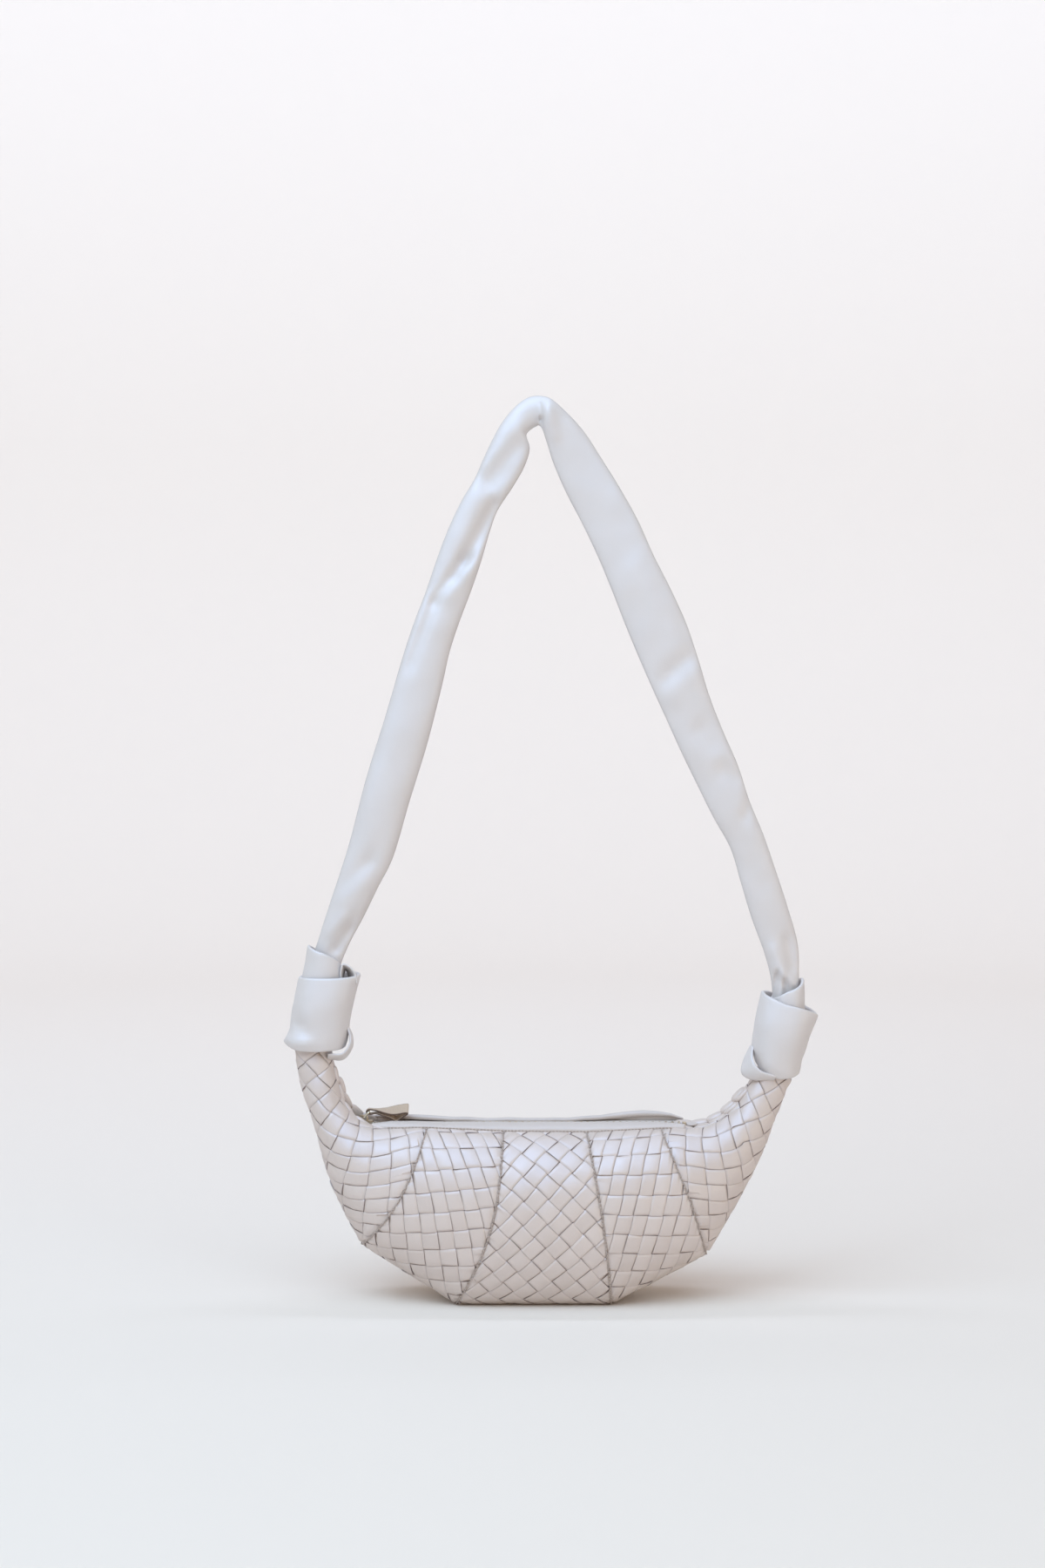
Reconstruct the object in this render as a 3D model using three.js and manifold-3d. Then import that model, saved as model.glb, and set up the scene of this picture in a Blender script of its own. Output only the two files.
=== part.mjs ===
// Woven leather crescent bag with a knotted shoulder strap, in millimetres.
// +X runs to the right, -Y to the front and +Z up. The origin is the middle of the flat base.
import * as THREE from 'three';
import { mergeVertices } from 'three/addons/utils/BufferGeometryUtils.js';
import Module from 'manifold-3d';

const wasm = await Module();
wasm.setup();

// Driving sizes of the woven body
const wallThickness = 2.4;
const seamGap = 0.3;
const clearance = 0.3;
const liningGap = 0.6;
const liningThickness = 0.8;
const bellyShare = 0.5;
const gorePuff = 1.5;
const profileSteps = 5;

// Stations run from the left horn's tip to the right horn's tip. Each gives a point on the mouth's
// rim, a point on the keel, the half depth at the belly, the half width of the keel and the
// sideways bow of the ring between rim and keel.
const station = (rimX, rimZ, keelX, keelZ, depth, keel, bow = 0) => (
  { rimX, rimZ, keelX, keelZ, depth, keel, bow }
);
const leftTip = station(-135, 160, -157.5, 158, 10, 3);
const rightTip = station(138, 145.5, 160, 136, 11, 3);
const leftHorn = [
  leftTip,
  station(-130.3, 141.6, -154.6, 141, 12, 3),
  station(-123.5, 124, -146, 115, 17, 4),
  station(-105, 113, -134.6, 75.9, 27, 6, 3),
];
const seamA = station(-72.6, 112.2, -115, 36.6, 37, 8, 6);
const seamB = station(-23.3, 108.2, -54, 0, 44, 18, 8);
const seamC = station(30.4, 109.4, 46, 0, 44, 18, 2);
const seamD = station(78, 111.1, 107.7, 30, 37, 8, 2);
const rightHorn = [
  station(107, 113, 131, 70, 26, 6, 1),
  station(124, 124.5, 144, 96, 18, 4),
  station(131, 133.5, 151, 114, 13, 3),
  rightTip,
];

// Mouth between the lips
const mouthMiddle = -4;
const mouthHalfLength = 123;
const lipHalfGap = 13;
const slitHalfGap = 0.2;
const mouthRoundness = 5;
const mouthLeft = mouthMiddle - mouthHalfLength;
const mouthRight = mouthMiddle + mouthHalfLength;

// Smooth leather band along each lip
const facingHeight = 5.6;
const facingThickness = 2.4;
const facingLeft = mouthLeft + 27;
const facingRight = mouthRight - 25;
const rearLipRise = 3.2;
const rearLipMiddle = seamD.rimX - 10;
const rearLipSpread = 34;

// Lining inside the wall, between these shares of the two end gores
const liningLeftStart = 0.3;
const liningRightEnd = 0.7;

// Zip in the mouth, level with the top of the facings
const zipAboveRim = 4.8;
const zipHeight = seamB.rimZ + zipAboveRim;
const tapeThickness = 0.6;
const chainLeft = mouthLeft + 12;
const chainRight = mouthRight - 27;
const toothPitch = 4.2;
const toothLength = 1.6;
const toothReach = 0.9;
const beadInner = 1.9;
const beadOuter = 2.9;
const toothHeight = 2.2;
const firstTooth = 0.4;
const tapeNarrowest = 1;
const stopLength = 2.4;
const endTabLength = 7;
const endTabThickness = 1.6;

// Zip slider and its pull
const sliderLength = 10.5;
const sliderPlate = 1.0;
const sliderWide = 3.9;
const sliderNarrow = 3.6;
const sliderFlange = 0.7;
const sliderDrop = 0.8;
const postLength = 3.2;
const crownLength = 6.4;
const crownWall = 1.1;
const crownWidth = 1.8;
const crownHole = 2.0;
const linkWire = 1.3;
const linkLength = 6;
const linkWidth = 8.4;
const linkCorner = 1.2;
const linkLift = THREE.MathUtils.degToRad(50);
const tabWidth = 10;
const tabNeck = linkWidth - 2 * linkCorner - 1;
const tabLeather = 1.2;
const tabLength = 27;
const tabRoll = THREE.MathUtils.degToRad(22);

// Strap and the knots that tie it to the horns
const leftAxis = new THREE.Vector3(-131, 0, 236);
const rightAxis = new THREE.Vector3(158, 0, 216);
const strapEndRadius = 7;
const strapSides = 12;
const knotSides = 16;
const stemSides = 12;
const stemHalfWidth = 7.4;
const stemHalfDepth = 6;
const stemTop = strapEndRadius + clearance;
const turnThickness = 2.4;

// Leather and metal finishes
const finish = (color, roughness, metalness = 0) => (
  new THREE.MeshStandardMaterial({ color, roughness, metalness })
);
const pearlLeather = () => finish('#d9d7dd', 0.42, 0.05);
const smoothLeather = () => finish('#dcd8da', 0.45, 0.05);
const rawLeather = () => finish('#c9bba8', 0.7);
const liningCloth = () => finish('#d8cdbf', 0.85);
const zipCloth = () => finish('#e2ddd8', 0.85);
const paleMetal = () => finish('#d8cbb0', 0.28, 0.95);

const bag = new THREE.Group();

function addPiece(name, geometry, material) {
  const mesh = new THREE.Mesh(geometry, material);
  mesh.name = name;
  bag.add(mesh);
  return mesh;
}

// Joins rings of as many points each into one closed body. A looped body joins its last ring to
// its first. Other bodies get an end cover: a fan, or a strip where the ring is a folded wall.
function loft(rings, { looped = false, folded = false } = {}) {
  const size = rings[0].length;
  const positions = rings.flat().flatMap((p) => [p.x, p.y, p.z]);
  const faces = [];
  const bands = looped ? rings.length : rings.length - 1;
  for (let r = 0; r < bands; r += 1) {
    const next = (r + 1) % rings.length;
    for (let i = 0; i < size; i += 1) {
      const j = (i + 1) % size;
      const [a, b, c, d] = [r * size + i, r * size + j, next * size + j, next * size + i];
      faces.push(a, b, c, a, c, d);
    }
  }
  if (!looped) {
    const last = (rings.length - 1) * size;
    const half = size / 2;
    const covers = folded ? half - 1 : size - 2;
    for (let i = 0; i < covers; i += 1) {
      if (folded) {
        const [a, b, c, d] = [i, i + 1, size - 2 - i, size - 1 - i];
        faces.push(a, c, b, a, d, c);
        faces.push(last + a, last + b, last + c, last + a, last + c, last + d);
      } else {
        faces.push(0, i + 2, i + 1);
        faces.push(last, last + i + 1, last + i + 2);
      }
    }
  }
  const point = (k) => new THREE.Vector3().fromArray(positions, 3 * k);
  let volume = 0;
  for (let f = 0; f < faces.length; f += 3) {
    volume += point(faces[f]).dot(point(faces[f + 1]).cross(point(faces[f + 2])));
  }
  if (volume < 0) faces.reverse();
  const geometry = new THREE.BufferGeometry();
  geometry.setAttribute('position', new THREE.Float32BufferAttribute(positions, 3));
  geometry.setIndex(faces);
  geometry.computeVertexNormals();
  return geometry;
}

function toSolid(geometry) {
  const bare = geometry.clone();
  bare.deleteAttribute('normal');
  bare.deleteAttribute('uv');
  const merged = mergeVertices(bare, 1e-4);
  const vertProperties = new Float32Array(merged.attributes.position.array);
  const triVerts = new Uint32Array(merged.index.array);
  return new wasm.Manifold(new wasm.Mesh({ numProp: 3, vertProperties, triVerts }));
}

function toGeometry(solid) {
  const mesh = solid.getMesh();
  const geometry = new THREE.BufferGeometry();
  geometry.setAttribute('position', new THREE.Float32BufferAttribute(mesh.vertProperties, 3));
  geometry.setIndex(Array.from(mesh.triVerts));
  geometry.computeVertexNormals();
  return geometry;
}

const outline = (points) => new THREE.Shape(points.map(([x, y]) => new THREE.Vector2(x, y)));
const extrude = (shape, depth) => new THREE.ExtrudeGeometry(shape, { depth, bevelEnabled: false });

// A plan outline given in X and Y, extruded upwards from a height.
function plate(points, bottom, thickness) {
  return extrude(outline(points), thickness).translate(0, 0, bottom);
}

// Half the width of the mouth at a place along it. Past its ends the edges meet in a slit.
function lipGapAt(x) {
  const along = Math.abs((x - mouthMiddle) / mouthHalfLength);
  if (along >= 1) return slitHalfGap;
  return slitHalfGap + (lipHalfGap - slitHalfGap) * Math.sqrt(1 - along ** mouthRoundness);
}

// A gore is a run of stations. Its curves give the ring of the body at any share of its length.
function makeGore(stations) {
  const curve = (pick) => new THREE.CatmullRomCurve3(stations.map(pick), false, 'centripetal');
  const rims = curve((s) => new THREE.Vector3(s.rimX, 0, s.rimZ));
  const keels = curve((s) => new THREE.Vector3(s.keelX, 0, s.keelZ));
  const sizes = curve((s) => new THREE.Vector3(s.depth, s.keel, s.bow));
  return { rims, keels, sizes };
}

// Frame of one ring: its rim point, the way down to the keel and the way sideways.
function ringFrame(gore, share) {
  const rim = gore.rims.getPoint(share);
  const keelPoint = gore.keels.getPoint(share);
  keelPoint.z = Math.max(keelPoint.z, 0);
  const [depth, keel, bow] = gore.sizes.getPoint(share).toArray();
  const reach = rim.distanceTo(keelPoint);
  const down = keelPoint.clone().sub(rim).normalize();
  const side = new THREE.Vector3(-down.z, 0, down.x);
  const puff = gorePuff * Math.sin(Math.PI * share);
  return { rim, down, side, reach, depth: depth + puff, keel, bow, gap: lipGapAt(rim.x) };
}

// Places a point of the ring, given as its depth below the rim and its distance to the front.
function placeInRing(frame, below, front) {
  const bend = frame.bow * Math.sin((Math.PI * THREE.MathUtils.clamp(below / frame.reach, 0, 1)));
  const point = frame.rim.clone().addScaledVector(frame.down, below).addScaledVector(frame.side, bend);
  point.y = -front;
  return point;
}

// Half of the ring's outer line, from the lip over the belly to the keel, moved inwards by inset.
// What lies inside the wall starts as far below the lip as it lies inwards.
function halfProfile(frame, inset) {
  const highest = inset > wallThickness ? inset : 0;
  const { reach, depth, keel, gap } = frame;
  const belly = reach * bellyShare;
  const upper = new THREE.CubicBezierCurve(
    new THREE.Vector2(0, gap),
    new THREE.Vector2(0.06 * belly, gap + 0.58 * (depth - gap)),
    new THREE.Vector2(0.42 * belly, depth),
    new THREE.Vector2(belly, depth),
  );
  const lower = new THREE.CubicBezierCurve(
    new THREE.Vector2(belly, depth),
    new THREE.Vector2(belly + 0.58 * (reach - belly), depth),
    new THREE.Vector2(reach, keel + 0.6 * (depth - keel)),
    new THREE.Vector2(reach, keel),
  );
  const points = [];
  for (let i = 0; i <= 2 * profileSteps; i += 1) {
    const part = i < profileSteps ? upper : lower;
    const t = i < profileSteps ? i / profileSteps : i / profileSteps - 1;
    const point = part.getPoint(t);
    const tangent = part.getTangent(t);
    const below = Math.max(point.x + tangent.y * inset, highest);
    const front = Math.max(point.y - tangent.x * inset, slitHalfGap);
    points.push(new THREE.Vector2(below, front));
  }
  return points;
}

// The folded wall of one ring: its outer line from front lip to rear lip, then its inner line back.
function wallRing(frame, outerInset, innerInset) {
  const line = (inset) => {
    const half = halfProfile(frame, inset);
    const front = half.map((p) => placeInRing(frame, p.x, p.y));
    const rear = half.map((p) => placeInRing(frame, p.x, -p.y)).reverse();
    return [...front, ...rear];
  };
  return [...line(outerInset), ...line(innerInset).reverse()];
}

const gores = {
  end_gore_left: makeGore([...leftHorn, seamA]),
  side_gore_left: makeGore([seamA, seamB]),
  centre_gore: makeGore([seamB, seamC]),
  side_gore_right: makeGore([seamC, seamD]),
  end_gore_right: makeGore([seamD, ...rightHorn]),
};
const goreBands = {
  end_gore_left: 10,
  side_gore_left: 4,
  centre_gore: 4,
  side_gore_right: 4,
  end_gore_right: 10,
};

// Share of a gore's length that takes up half the seam gap at a place along it.
function seamTrim(gore, share) {
  const step = 0.01;
  const other = share < 0.5 ? share + step : share - step;
  const rimStep = gore.rims.getPoint(share).distanceTo(gore.rims.getPoint(other));
  const keelStep = gore.keels.getPoint(share).distanceTo(gore.keels.getPoint(other));
  return ((seamGap / 2) * step) / Math.min(rimStep, keelStep);
}

// Shares of a gore's length at which its rings lie. A horn's tip is its true end, and a seam keeps
// half the seam gap clear.
function goreShares(name) {
  const gore = gores[name];
  const bands = goreBands[name];
  const first = name === 'end_gore_left' ? 0 : seamTrim(gore, 0);
  const last = name === 'end_gore_right' ? 1 : 1 - seamTrim(gore, 1);
  const shares = [];
  for (let i = 0; i <= bands; i += 1) shares.push(THREE.MathUtils.clamp(i / bands, first, last));
  return shares;
}

for (const name of Object.keys(gores)) {
  const rings = goreShares(name).map((share) => wallRing(ringFrame(gores[name], share), 0, wallThickness));
  addPiece(name, loft(rings, { folded: true }), pearlLeather());
}

// Cloth lining just inside the woven wall, from horn to horn
function liningRings() {
  const rings = [];
  for (const name of Object.keys(gores)) {
    for (const share of goreShares(name)) {
      const pastLeft = name === 'end_gore_left' && share < liningLeftStart;
      const pastRight = name === 'end_gore_right' && share > liningRightEnd;
      if (!pastLeft && !pastRight) {
        const outer = wallThickness + liningGap;
        rings.push(wallRing(ringFrame(gores[name], share), outer, outer + liningThickness));
      }
    }
  }
  return rings;
}
addPiece('lining', loft(liningRings(), { folded: true }), liningCloth());

// The facing follows the rim wherever the lips leave room for its thickness.
function facingRings(toFront) {
  const rings = [];
  for (const name of Object.keys(gores)) {
    const shares = goreShares(name);
    for (let i = 0; i < shares.length; i += 1) {
      const frame = ringFrame(gores[name], shares[i]);
      if (frame.rim.x > facingLeft && frame.rim.x < facingRight) {
        const rise = Math.exp(-(((frame.rim.x - rearLipMiddle) / rearLipSpread) ** 2));
        const height = facingHeight + (toFront ? 0 : rearLipRise * rise);
        const outer = frame.gap;
        const inner = frame.gap - facingThickness;
        const round = facingThickness / 3;
        const corners = [
          [-clearance, outer],
          [-clearance - height + round, outer],
          [-clearance - height, outer - round],
          [-clearance - height, inner + round],
          [-clearance - height + round, inner],
          [-clearance, inner],
        ];
        const sign = toFront ? 1 : -1;
        rings.push(corners.map(([below, front]) => placeInRing(frame, below, sign * front)));
      }
    }
  }
  return rings;
}
addPiece('front_facing', loft(facingRings(true)), smoothLeather());
addPiece('rear_facing', loft(facingRings(false)), smoothLeather());

// Zip tapes lie level between the chain and the facings.
function tapeOutline(sign) {
  const inner = beadOuter + clearance;
  const steps = 12;
  const edge = [];
  for (let i = 0; i <= steps; i += 1) {
    const share = 0.5 - 0.5 * Math.cos((Math.PI * i) / steps);
    const x = chainLeft + (chainRight - chainLeft) * share;
    const outer = Math.max(lipGapAt(x) - facingThickness - clearance, inner + tapeNarrowest);
    edge.push([x, sign * outer]);
  }
  return [[chainLeft, sign * inner], ...edge, [chainRight, sign * inner]];
}
addPiece('front_zip_tape', plate(tapeOutline(-1), zipHeight - tapeThickness / 2, tapeThickness), zipCloth());
addPiece('rear_zip_tape', plate(tapeOutline(1), zipHeight - tapeThickness / 2, tapeThickness), zipCloth());

// A row of teeth stands on its bead and meshes with the row across from it.
function toothRow(sign, offset) {
  const count = Math.floor((chainRight - chainLeft - offset) / toothPitch);
  const points = [[chainRight, sign * beadOuter], [chainLeft, sign * beadOuter]];
  points.push([chainLeft, sign * beadInner]);
  for (let i = 0; i < count; i += 1) {
    const start = chainLeft + offset + i * toothPitch;
    const end = start + toothLength;
    points.push([start, sign * beadInner], [start, -sign * toothReach]);
    points.push([end, -sign * toothReach], [end, sign * beadInner]);
  }
  points.push([chainRight, sign * beadInner]);
  return points;
}
const teeth = (sign, offset) => plate(toothRow(sign, offset), zipHeight - toothHeight / 2, toothHeight);
addPiece('front_zip_teeth', teeth(-1, firstTooth), paleMetal());
addPiece('rear_zip_teeth', teeth(1, firstTooth + toothPitch / 2), paleMetal());

// Stops and leather end tabs close the two ends of the chain.
const block = (left, right, half, height) => plate(
  [[left, -half], [right, -half], [right, half], [left, half]],
  zipHeight - height / 2,
  height,
);
const stopLeft = chainRight + clearance;
addPiece('zip_bottom_stop', block(stopLeft, stopLeft + stopLength, beadOuter, toothHeight), paleMetal());
const rightTabStart = stopLeft + stopLength + clearance;
const rightTabHalf = lipGapAt(rightTabStart + endTabLength) - facingThickness - clearance;
addPiece(
  'zip_end_tab_right',
  block(rightTabStart, rightTabStart + endTabLength, rightTabHalf, endTabThickness),
  smoothLeather(),
);

// The slider is two plates with side flanges, joined by a post ahead of the first tooth.
const channelHalfHeight = toothHeight / 2 + clearance;
const sliderRight = chainLeft + sliderLength - postLength - clearance;
const sliderLeft = sliderRight - sliderLength;
function makeSlider() {
  const plan = [
    [sliderLeft + 1.5, -sliderNarrow],
    [sliderLeft + postLength, -sliderWide],
    [sliderRight, -sliderNarrow],
    [sliderRight, sliderNarrow],
    [sliderLeft + postLength, sliderWide],
    [sliderLeft + 1.5, sliderNarrow],
    [sliderLeft, 1.2],
    [sliderLeft, -1.2],
  ];
  const top = zipHeight + channelHalfHeight;
  const bottom = zipHeight - channelHalfHeight;
  const lower = toSolid(plate(plan, bottom - sliderPlate, sliderPlate));
  let solid = toSolid(plate(plan, top, sliderPlate)).add(lower);
  const post = [
    [sliderLeft + 0.6, -1.0],
    [sliderLeft + postLength - clearance, -0.4],
    [sliderLeft + postLength - clearance, 0.4],
    [sliderLeft + 0.6, 1.0],
  ];
  solid = solid.add(toSolid(plate(post, bottom - sliderPlate / 2, 2 * channelHalfHeight + sliderPlate)));
  for (const side of [-1, 1]) {
    const flange = [
      [sliderLeft + postLength, side * (sliderWide - sliderFlange)],
      [sliderLeft + postLength, side * sliderWide],
      [sliderRight, side * sliderNarrow],
      [sliderRight, side * (sliderNarrow - sliderFlange + clearance)],
    ];
    solid = solid.add(toSolid(plate(flange, top - sliderDrop, sliderDrop + sliderPlate / 2)));
    solid = solid.add(toSolid(plate(flange, bottom - sliderPlate / 2, sliderDrop + sliderPlate / 2)));
  }
  const crownBottom = top + sliderPlate / 2;
  const crownTop = top + sliderPlate + crownHole + crownWall;
  const arch = outline([
    [sliderLeft + 1.2, crownBottom],
    [sliderLeft + 1.2 + crownLength, crownBottom],
    [sliderLeft + 1.2 + crownLength, crownTop - crownWall],
    [sliderLeft + crownLength, crownTop],
    [sliderLeft + 2.4, crownTop],
    [sliderLeft + 1.2, crownTop - crownWall],
  ]);
  const hole = new THREE.Path([
    new THREE.Vector2(sliderLeft + 1.2 + crownWall, top + sliderPlate),
    new THREE.Vector2(sliderLeft + 1.2 + crownWall, top + sliderPlate + crownHole),
    new THREE.Vector2(sliderLeft + 1.2 + crownLength - crownWall, top + sliderPlate + crownHole),
    new THREE.Vector2(sliderLeft + 1.2 + crownLength - crownWall, top + sliderPlate),
  ]);
  arch.holes.push(hole);
  const crown = extrude(arch, crownWidth).rotateX(Math.PI / 2).translate(0, crownWidth / 2, 0);
  return toGeometry(solid.add(toSolid(crown)));
}
addPiece('zip_slider', makeSlider(), paleMetal());

// The wire link turns in the slider's crown, and the leather tab turns on the link.
const pullX = sliderLeft + 1.2 + crownLength / 2;
const pullZ = zipHeight + channelHalfHeight + sliderPlate + crownHole / 2;
function makeLink() {
  const half = linkLength / 2;
  const radius = linkCorner;
  const path = new THREE.Path();
  path.moveTo(0, -linkWidth / 2 + radius);
  path.lineTo(0, linkWidth / 2 - radius);
  path.quadraticCurveTo(0, linkWidth / 2, radius, linkWidth / 2);
  path.lineTo(2 * half - radius, linkWidth / 2);
  path.quadraticCurveTo(2 * half, linkWidth / 2, 2 * half, linkWidth / 2 - radius);
  path.lineTo(2 * half, -linkWidth / 2 + radius);
  path.quadraticCurveTo(2 * half, -linkWidth / 2, 2 * half - radius, -linkWidth / 2);
  path.lineTo(radius, -linkWidth / 2);
  path.quadraticCurveTo(0, -linkWidth / 2, 0, -linkWidth / 2 + radius);
  const steps = 28;
  const sides = 6;
  const rings = [];
  for (let i = 0; i < steps; i += 1) {
    const centre = path.getPointAt(i / steps);
    const along = path.getTangentAt(i / steps);
    const ring = [];
    for (let k = 0; k < sides; k += 1) {
      const angle = (2 * Math.PI * k) / sides;
      const out = (linkWire / 2) * Math.cos(angle);
      ring.push(new THREE.Vector3(
        centre.x + out * along.y,
        centre.y - out * along.x,
        (linkWire / 2) * Math.sin(angle),
      ));
    }
    rings.push(ring);
  }
  return loft(rings, { looped: true });
}
const link = addPiece('pull_link', makeLink().rotateY(-linkLift), paleMetal());
link.position.set(pullX, 0, pullZ);

// The tab is one strip folded round the link's far bar, its leaves lying together and parting at
// the far end into a three-cornered loop.
const barX = pullX + linkLength * Math.cos(linkLift);
const barZ = pullZ + linkLength * Math.sin(linkLift);
const barHole = linkWire / 2 + clearance;
function makeTab() {
  const path = [
    [-barHole - tabLeather / 2, 0],
    [-0.6 * barHole, barHole + 0.35 * tabLeather],
    [barHole, barHole + tabLeather / 2],
    [3.5, 1.1],
    [tabLength * 0.55, 1.5],
    [tabLength - 4, 4.1],
    [tabLength - 2.2, 4.4],
    [tabLength - 2, 3.4],
    [tabLength - 9, -3.2],
    [tabLength - 10.4, -3.2],
    [tabLength * 0.45, -0.9],
    [3.5, -1.1],
    [barHole, -barHole - tabLeather / 2],
    [-0.6 * barHole, -barHole - 0.35 * tabLeather],
  ];
  const centres = path.map(([x, z]) => new THREE.Vector2(x, z));
  const rings = centres.map((centre, i) => {
    const before = centres[(i + centres.length - 1) % centres.length];
    const after = centres[(i + 1) % centres.length];
    const along = after.clone().sub(before).normalize();
    const normal = new THREE.Vector2(-along.y, along.x).multiplyScalar(tabLeather / 2);
    const roll = tabRoll * THREE.MathUtils.smoothstep(centre.x, 4, tabLength * 0.7);
    const corner = (sideways, out) => {
      const x = centre.x + out * normal.x;
      const z = centre.y + out * normal.y;
      const wide = tabNeck + (tabWidth - tabNeck) * THREE.MathUtils.smoothstep(centre.x, 2, 9);
      const y = (sideways * wide) / 2;
      return new THREE.Vector3(x, y, z).applyAxisAngle(new THREE.Vector3(1, 0, 0), roll);
    };
    return [corner(-1, 1), corner(1, 1), corner(1, -1), corner(-1, -1)];
  });
  return loft(rings, { looped: true });
}
addPiece('pull_tab', makeTab(), rawLeather()).position.set(barX, 0, barZ);
const leftTabEnd = sliderLeft - clearance;
const leftTabHalf = beadOuter;
addPiece(
  'zip_end_tab_left',
  block(leftTabEnd - endTabLength / 2, leftTabEnd, leftTabHalf, endTabThickness),
  smoothLeather(),
);

// An oval ring across a direction in the XZ plane: its half width lies in that plane and its
// half depth along Y.
function ovalRing(x, z, lean, halfWidth, halfDepth, sides) {
  const ring = [];
  for (let i = 0; i < sides; i += 1) {
    const angle = (2 * Math.PI * i) / sides;
    const out = halfWidth * Math.cos(angle);
    const y = halfDepth * Math.sin(angle);
    ring.push(new THREE.Vector3(x + out * Math.cos(lean), y, z - out * Math.sin(lean)));
  }
  return ring;
}

// A sleeve is given by its outer sections from bottom to top. Its bore is the stem's own section
// with the clearance, taken at the same heights.
function sleeve(sections, stemAt) {
  const outer = sections.map((s) => ovalRing(s.x, s.z, s.lean, s.halfWidth, s.halfDepth, knotSides));
  const inner = sections.map((s) => {
    const stem = stemAt(s.z);
    const halfWidth = (stem.halfWidth + clearance) / Math.cos(s.lean);
    return ovalRing(stem.x, s.z, s.lean, halfWidth, stem.halfDepth + clearance, knotSides);
  });
  return loft([...outer, ...inner.reverse()], { looped: true });
}

const knotSection = (x, z, lean, halfWidth, halfDepth) => ({ x, z, lean, halfWidth, halfDepth });

// The lowest section of a knot's wrap sits on the end of the horn with the clearance.
function seatOnHorn(tip, halfWidth, halfDepth) {
  const [low, high] = tip.rimX < tip.keelX ? ['rim', 'keel'] : ['keel', 'rim'];
  const run = tip[`${high}X`] - tip[`${low}X`];
  const rise = tip[`${high}Z`] - tip[`${low}Z`];
  const lean = Math.atan2(-rise, run);
  const x = (tip.rimX + tip.keelX) / 2 + clearance * Math.sin(lean);
  const z = (tip.rimZ + tip.keelZ) / 2 + clearance * Math.cos(lean);
  return knotSection(x, z, lean, halfWidth, halfDepth);
}

// The stem is the strap's core inside a knot. It runs from a foot inside the horn through the
// horn's tip to just below the strap's rounded end.
function makeStem(foot, tip, axis) {
  const at = (z) => {
    const [low, high] = z < tip.z ? [foot, tip] : [tip, axis];
    const share = (z - low.z) / (high.z - low.z);
    return { x: low.x + share * (high.x - low.x), halfWidth: stemHalfWidth, halfDepth: stemHalfDepth };
  };
  const rings = [
    [foot.z, 0.7, 0.7],
    [tip.z, 1, 1],
    [axis.z - stemTop - 6, 1, 1],
    [axis.z - stemTop - 2.4, 1, 0.9],
    [axis.z - stemTop, 0.8, 0.36],
  ].map(([z, wide, deep]) => ovalRing(at(z).x, z, 0, wide * stemHalfWidth, deep * stemHalfDepth, stemSides));
  return { at, geometry: loft(rings) };
}

const leftStem = makeStem(new THREE.Vector3(-144.6, 0, 149), new THREE.Vector3(-146, 0, 160), leftAxis);
addPiece('strap_stem_left', leftStem.geometry, pearlLeather());
addPiece('knot_wrap_left', sleeve([
  seatOnHorn(leftTip, 17, 13.5),
  knotSection(-145, 164, 0.0, 21, 16),
  knotSection(-144, 170, 0.04, 22, 17.5),
  knotSection(-140.5, 186, 0.05, 20.5, 18.5),
  knotSection(-138, 199, 0.02, 20.5, 17.5),
  knotSection(-136.5, 207, 0, 19.5, 15),
], leftStem.at), pearlLeather());
addPiece('knot_collar_left', sleeve([
  knotSection(-138, 209, 0.05, 15, 12.5),
  knotSection(-138, 216, 0.25, 13.5, 11),
  knotSection(-137, 221, 0.4, 11.5, 9.5),
], leftStem.at), pearlLeather());

const rightStem = makeStem(new THREE.Vector3(145.8, 0, 133), new THREE.Vector3(149.3, 0, 141.5), rightAxis);
addPiece('strap_stem_right', rightStem.geometry, pearlLeather());
addPiece('knot_wrap_right', sleeve([
  seatOnHorn(rightTip, 14.5, 13),
  knotSection(153.5, 149, 0.36, 17, 16),
  knotSection(155, 157, 0.32, 18.5, 17.5),
  knotSection(157, 170, 0.32, 19, 18.5),
  knotSection(159.5, 181, 0.34, 19.5, 17.5),
  knotSection(160.5, 187, 0.35, 19, 14.5),
], rightStem.at), pearlLeather());
addPiece('knot_collar_right', sleeve([
  knotSection(160.5, 190, 0.35, 13.5, 12.5),
  knotSection(161, 197, -0.1, 12.5, 11),
  knotSection(161, 201.5, -0.35, 11, 9.5),
], rightStem.at), pearlLeather());

// A small turn of strap seen edge-on: a bent strip with its width along Y.
function bentStrip(points, thickness, halfWidth) {
  const centres = points.map(([x, z]) => new THREE.Vector3(x, 0, z));
  const curve = new THREE.CatmullRomCurve3(centres, false, 'centripetal');
  const steps = 10;
  const rings = [];
  for (let i = 0; i <= steps; i += 1) {
    const centre = curve.getPoint(i / steps);
    const along = curve.getTangent(i / steps);
    const out = new THREE.Vector3(along.z, 0, -along.x).multiplyScalar(thickness / 2);
    const across = new THREE.Vector3(0, halfWidth, 0);
    rings.push([
      centre.clone().add(out).sub(across),
      centre.clone().add(out).add(across),
      centre.clone().sub(out).add(across),
      centre.clone().sub(out).sub(across),
    ]);
  }
  return loft(rings);
}
addPiece('knot_loop_left', bentStrip(
  [[-119.4, 207.9], [-120.6, 214], [-116.5, 217], [-113.6, 211.5], [-114.8, 203]],
  turnThickness,
  8,
), pearlLeather());
addPiece('knot_tail_left', bentStrip(
  [[-126.2, 161.6], [-122.6, 157], [-126, 153], [-131, 154.2]],
  turnThickness,
  9,
), pearlLeather());
addPiece('knot_tail_right', bentStrip(
  [[136.3, 166.5], [132.8, 158.5], [129.8, 150], [131.4, 145.4]],
  turnThickness,
  9,
), pearlLeather());

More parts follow.
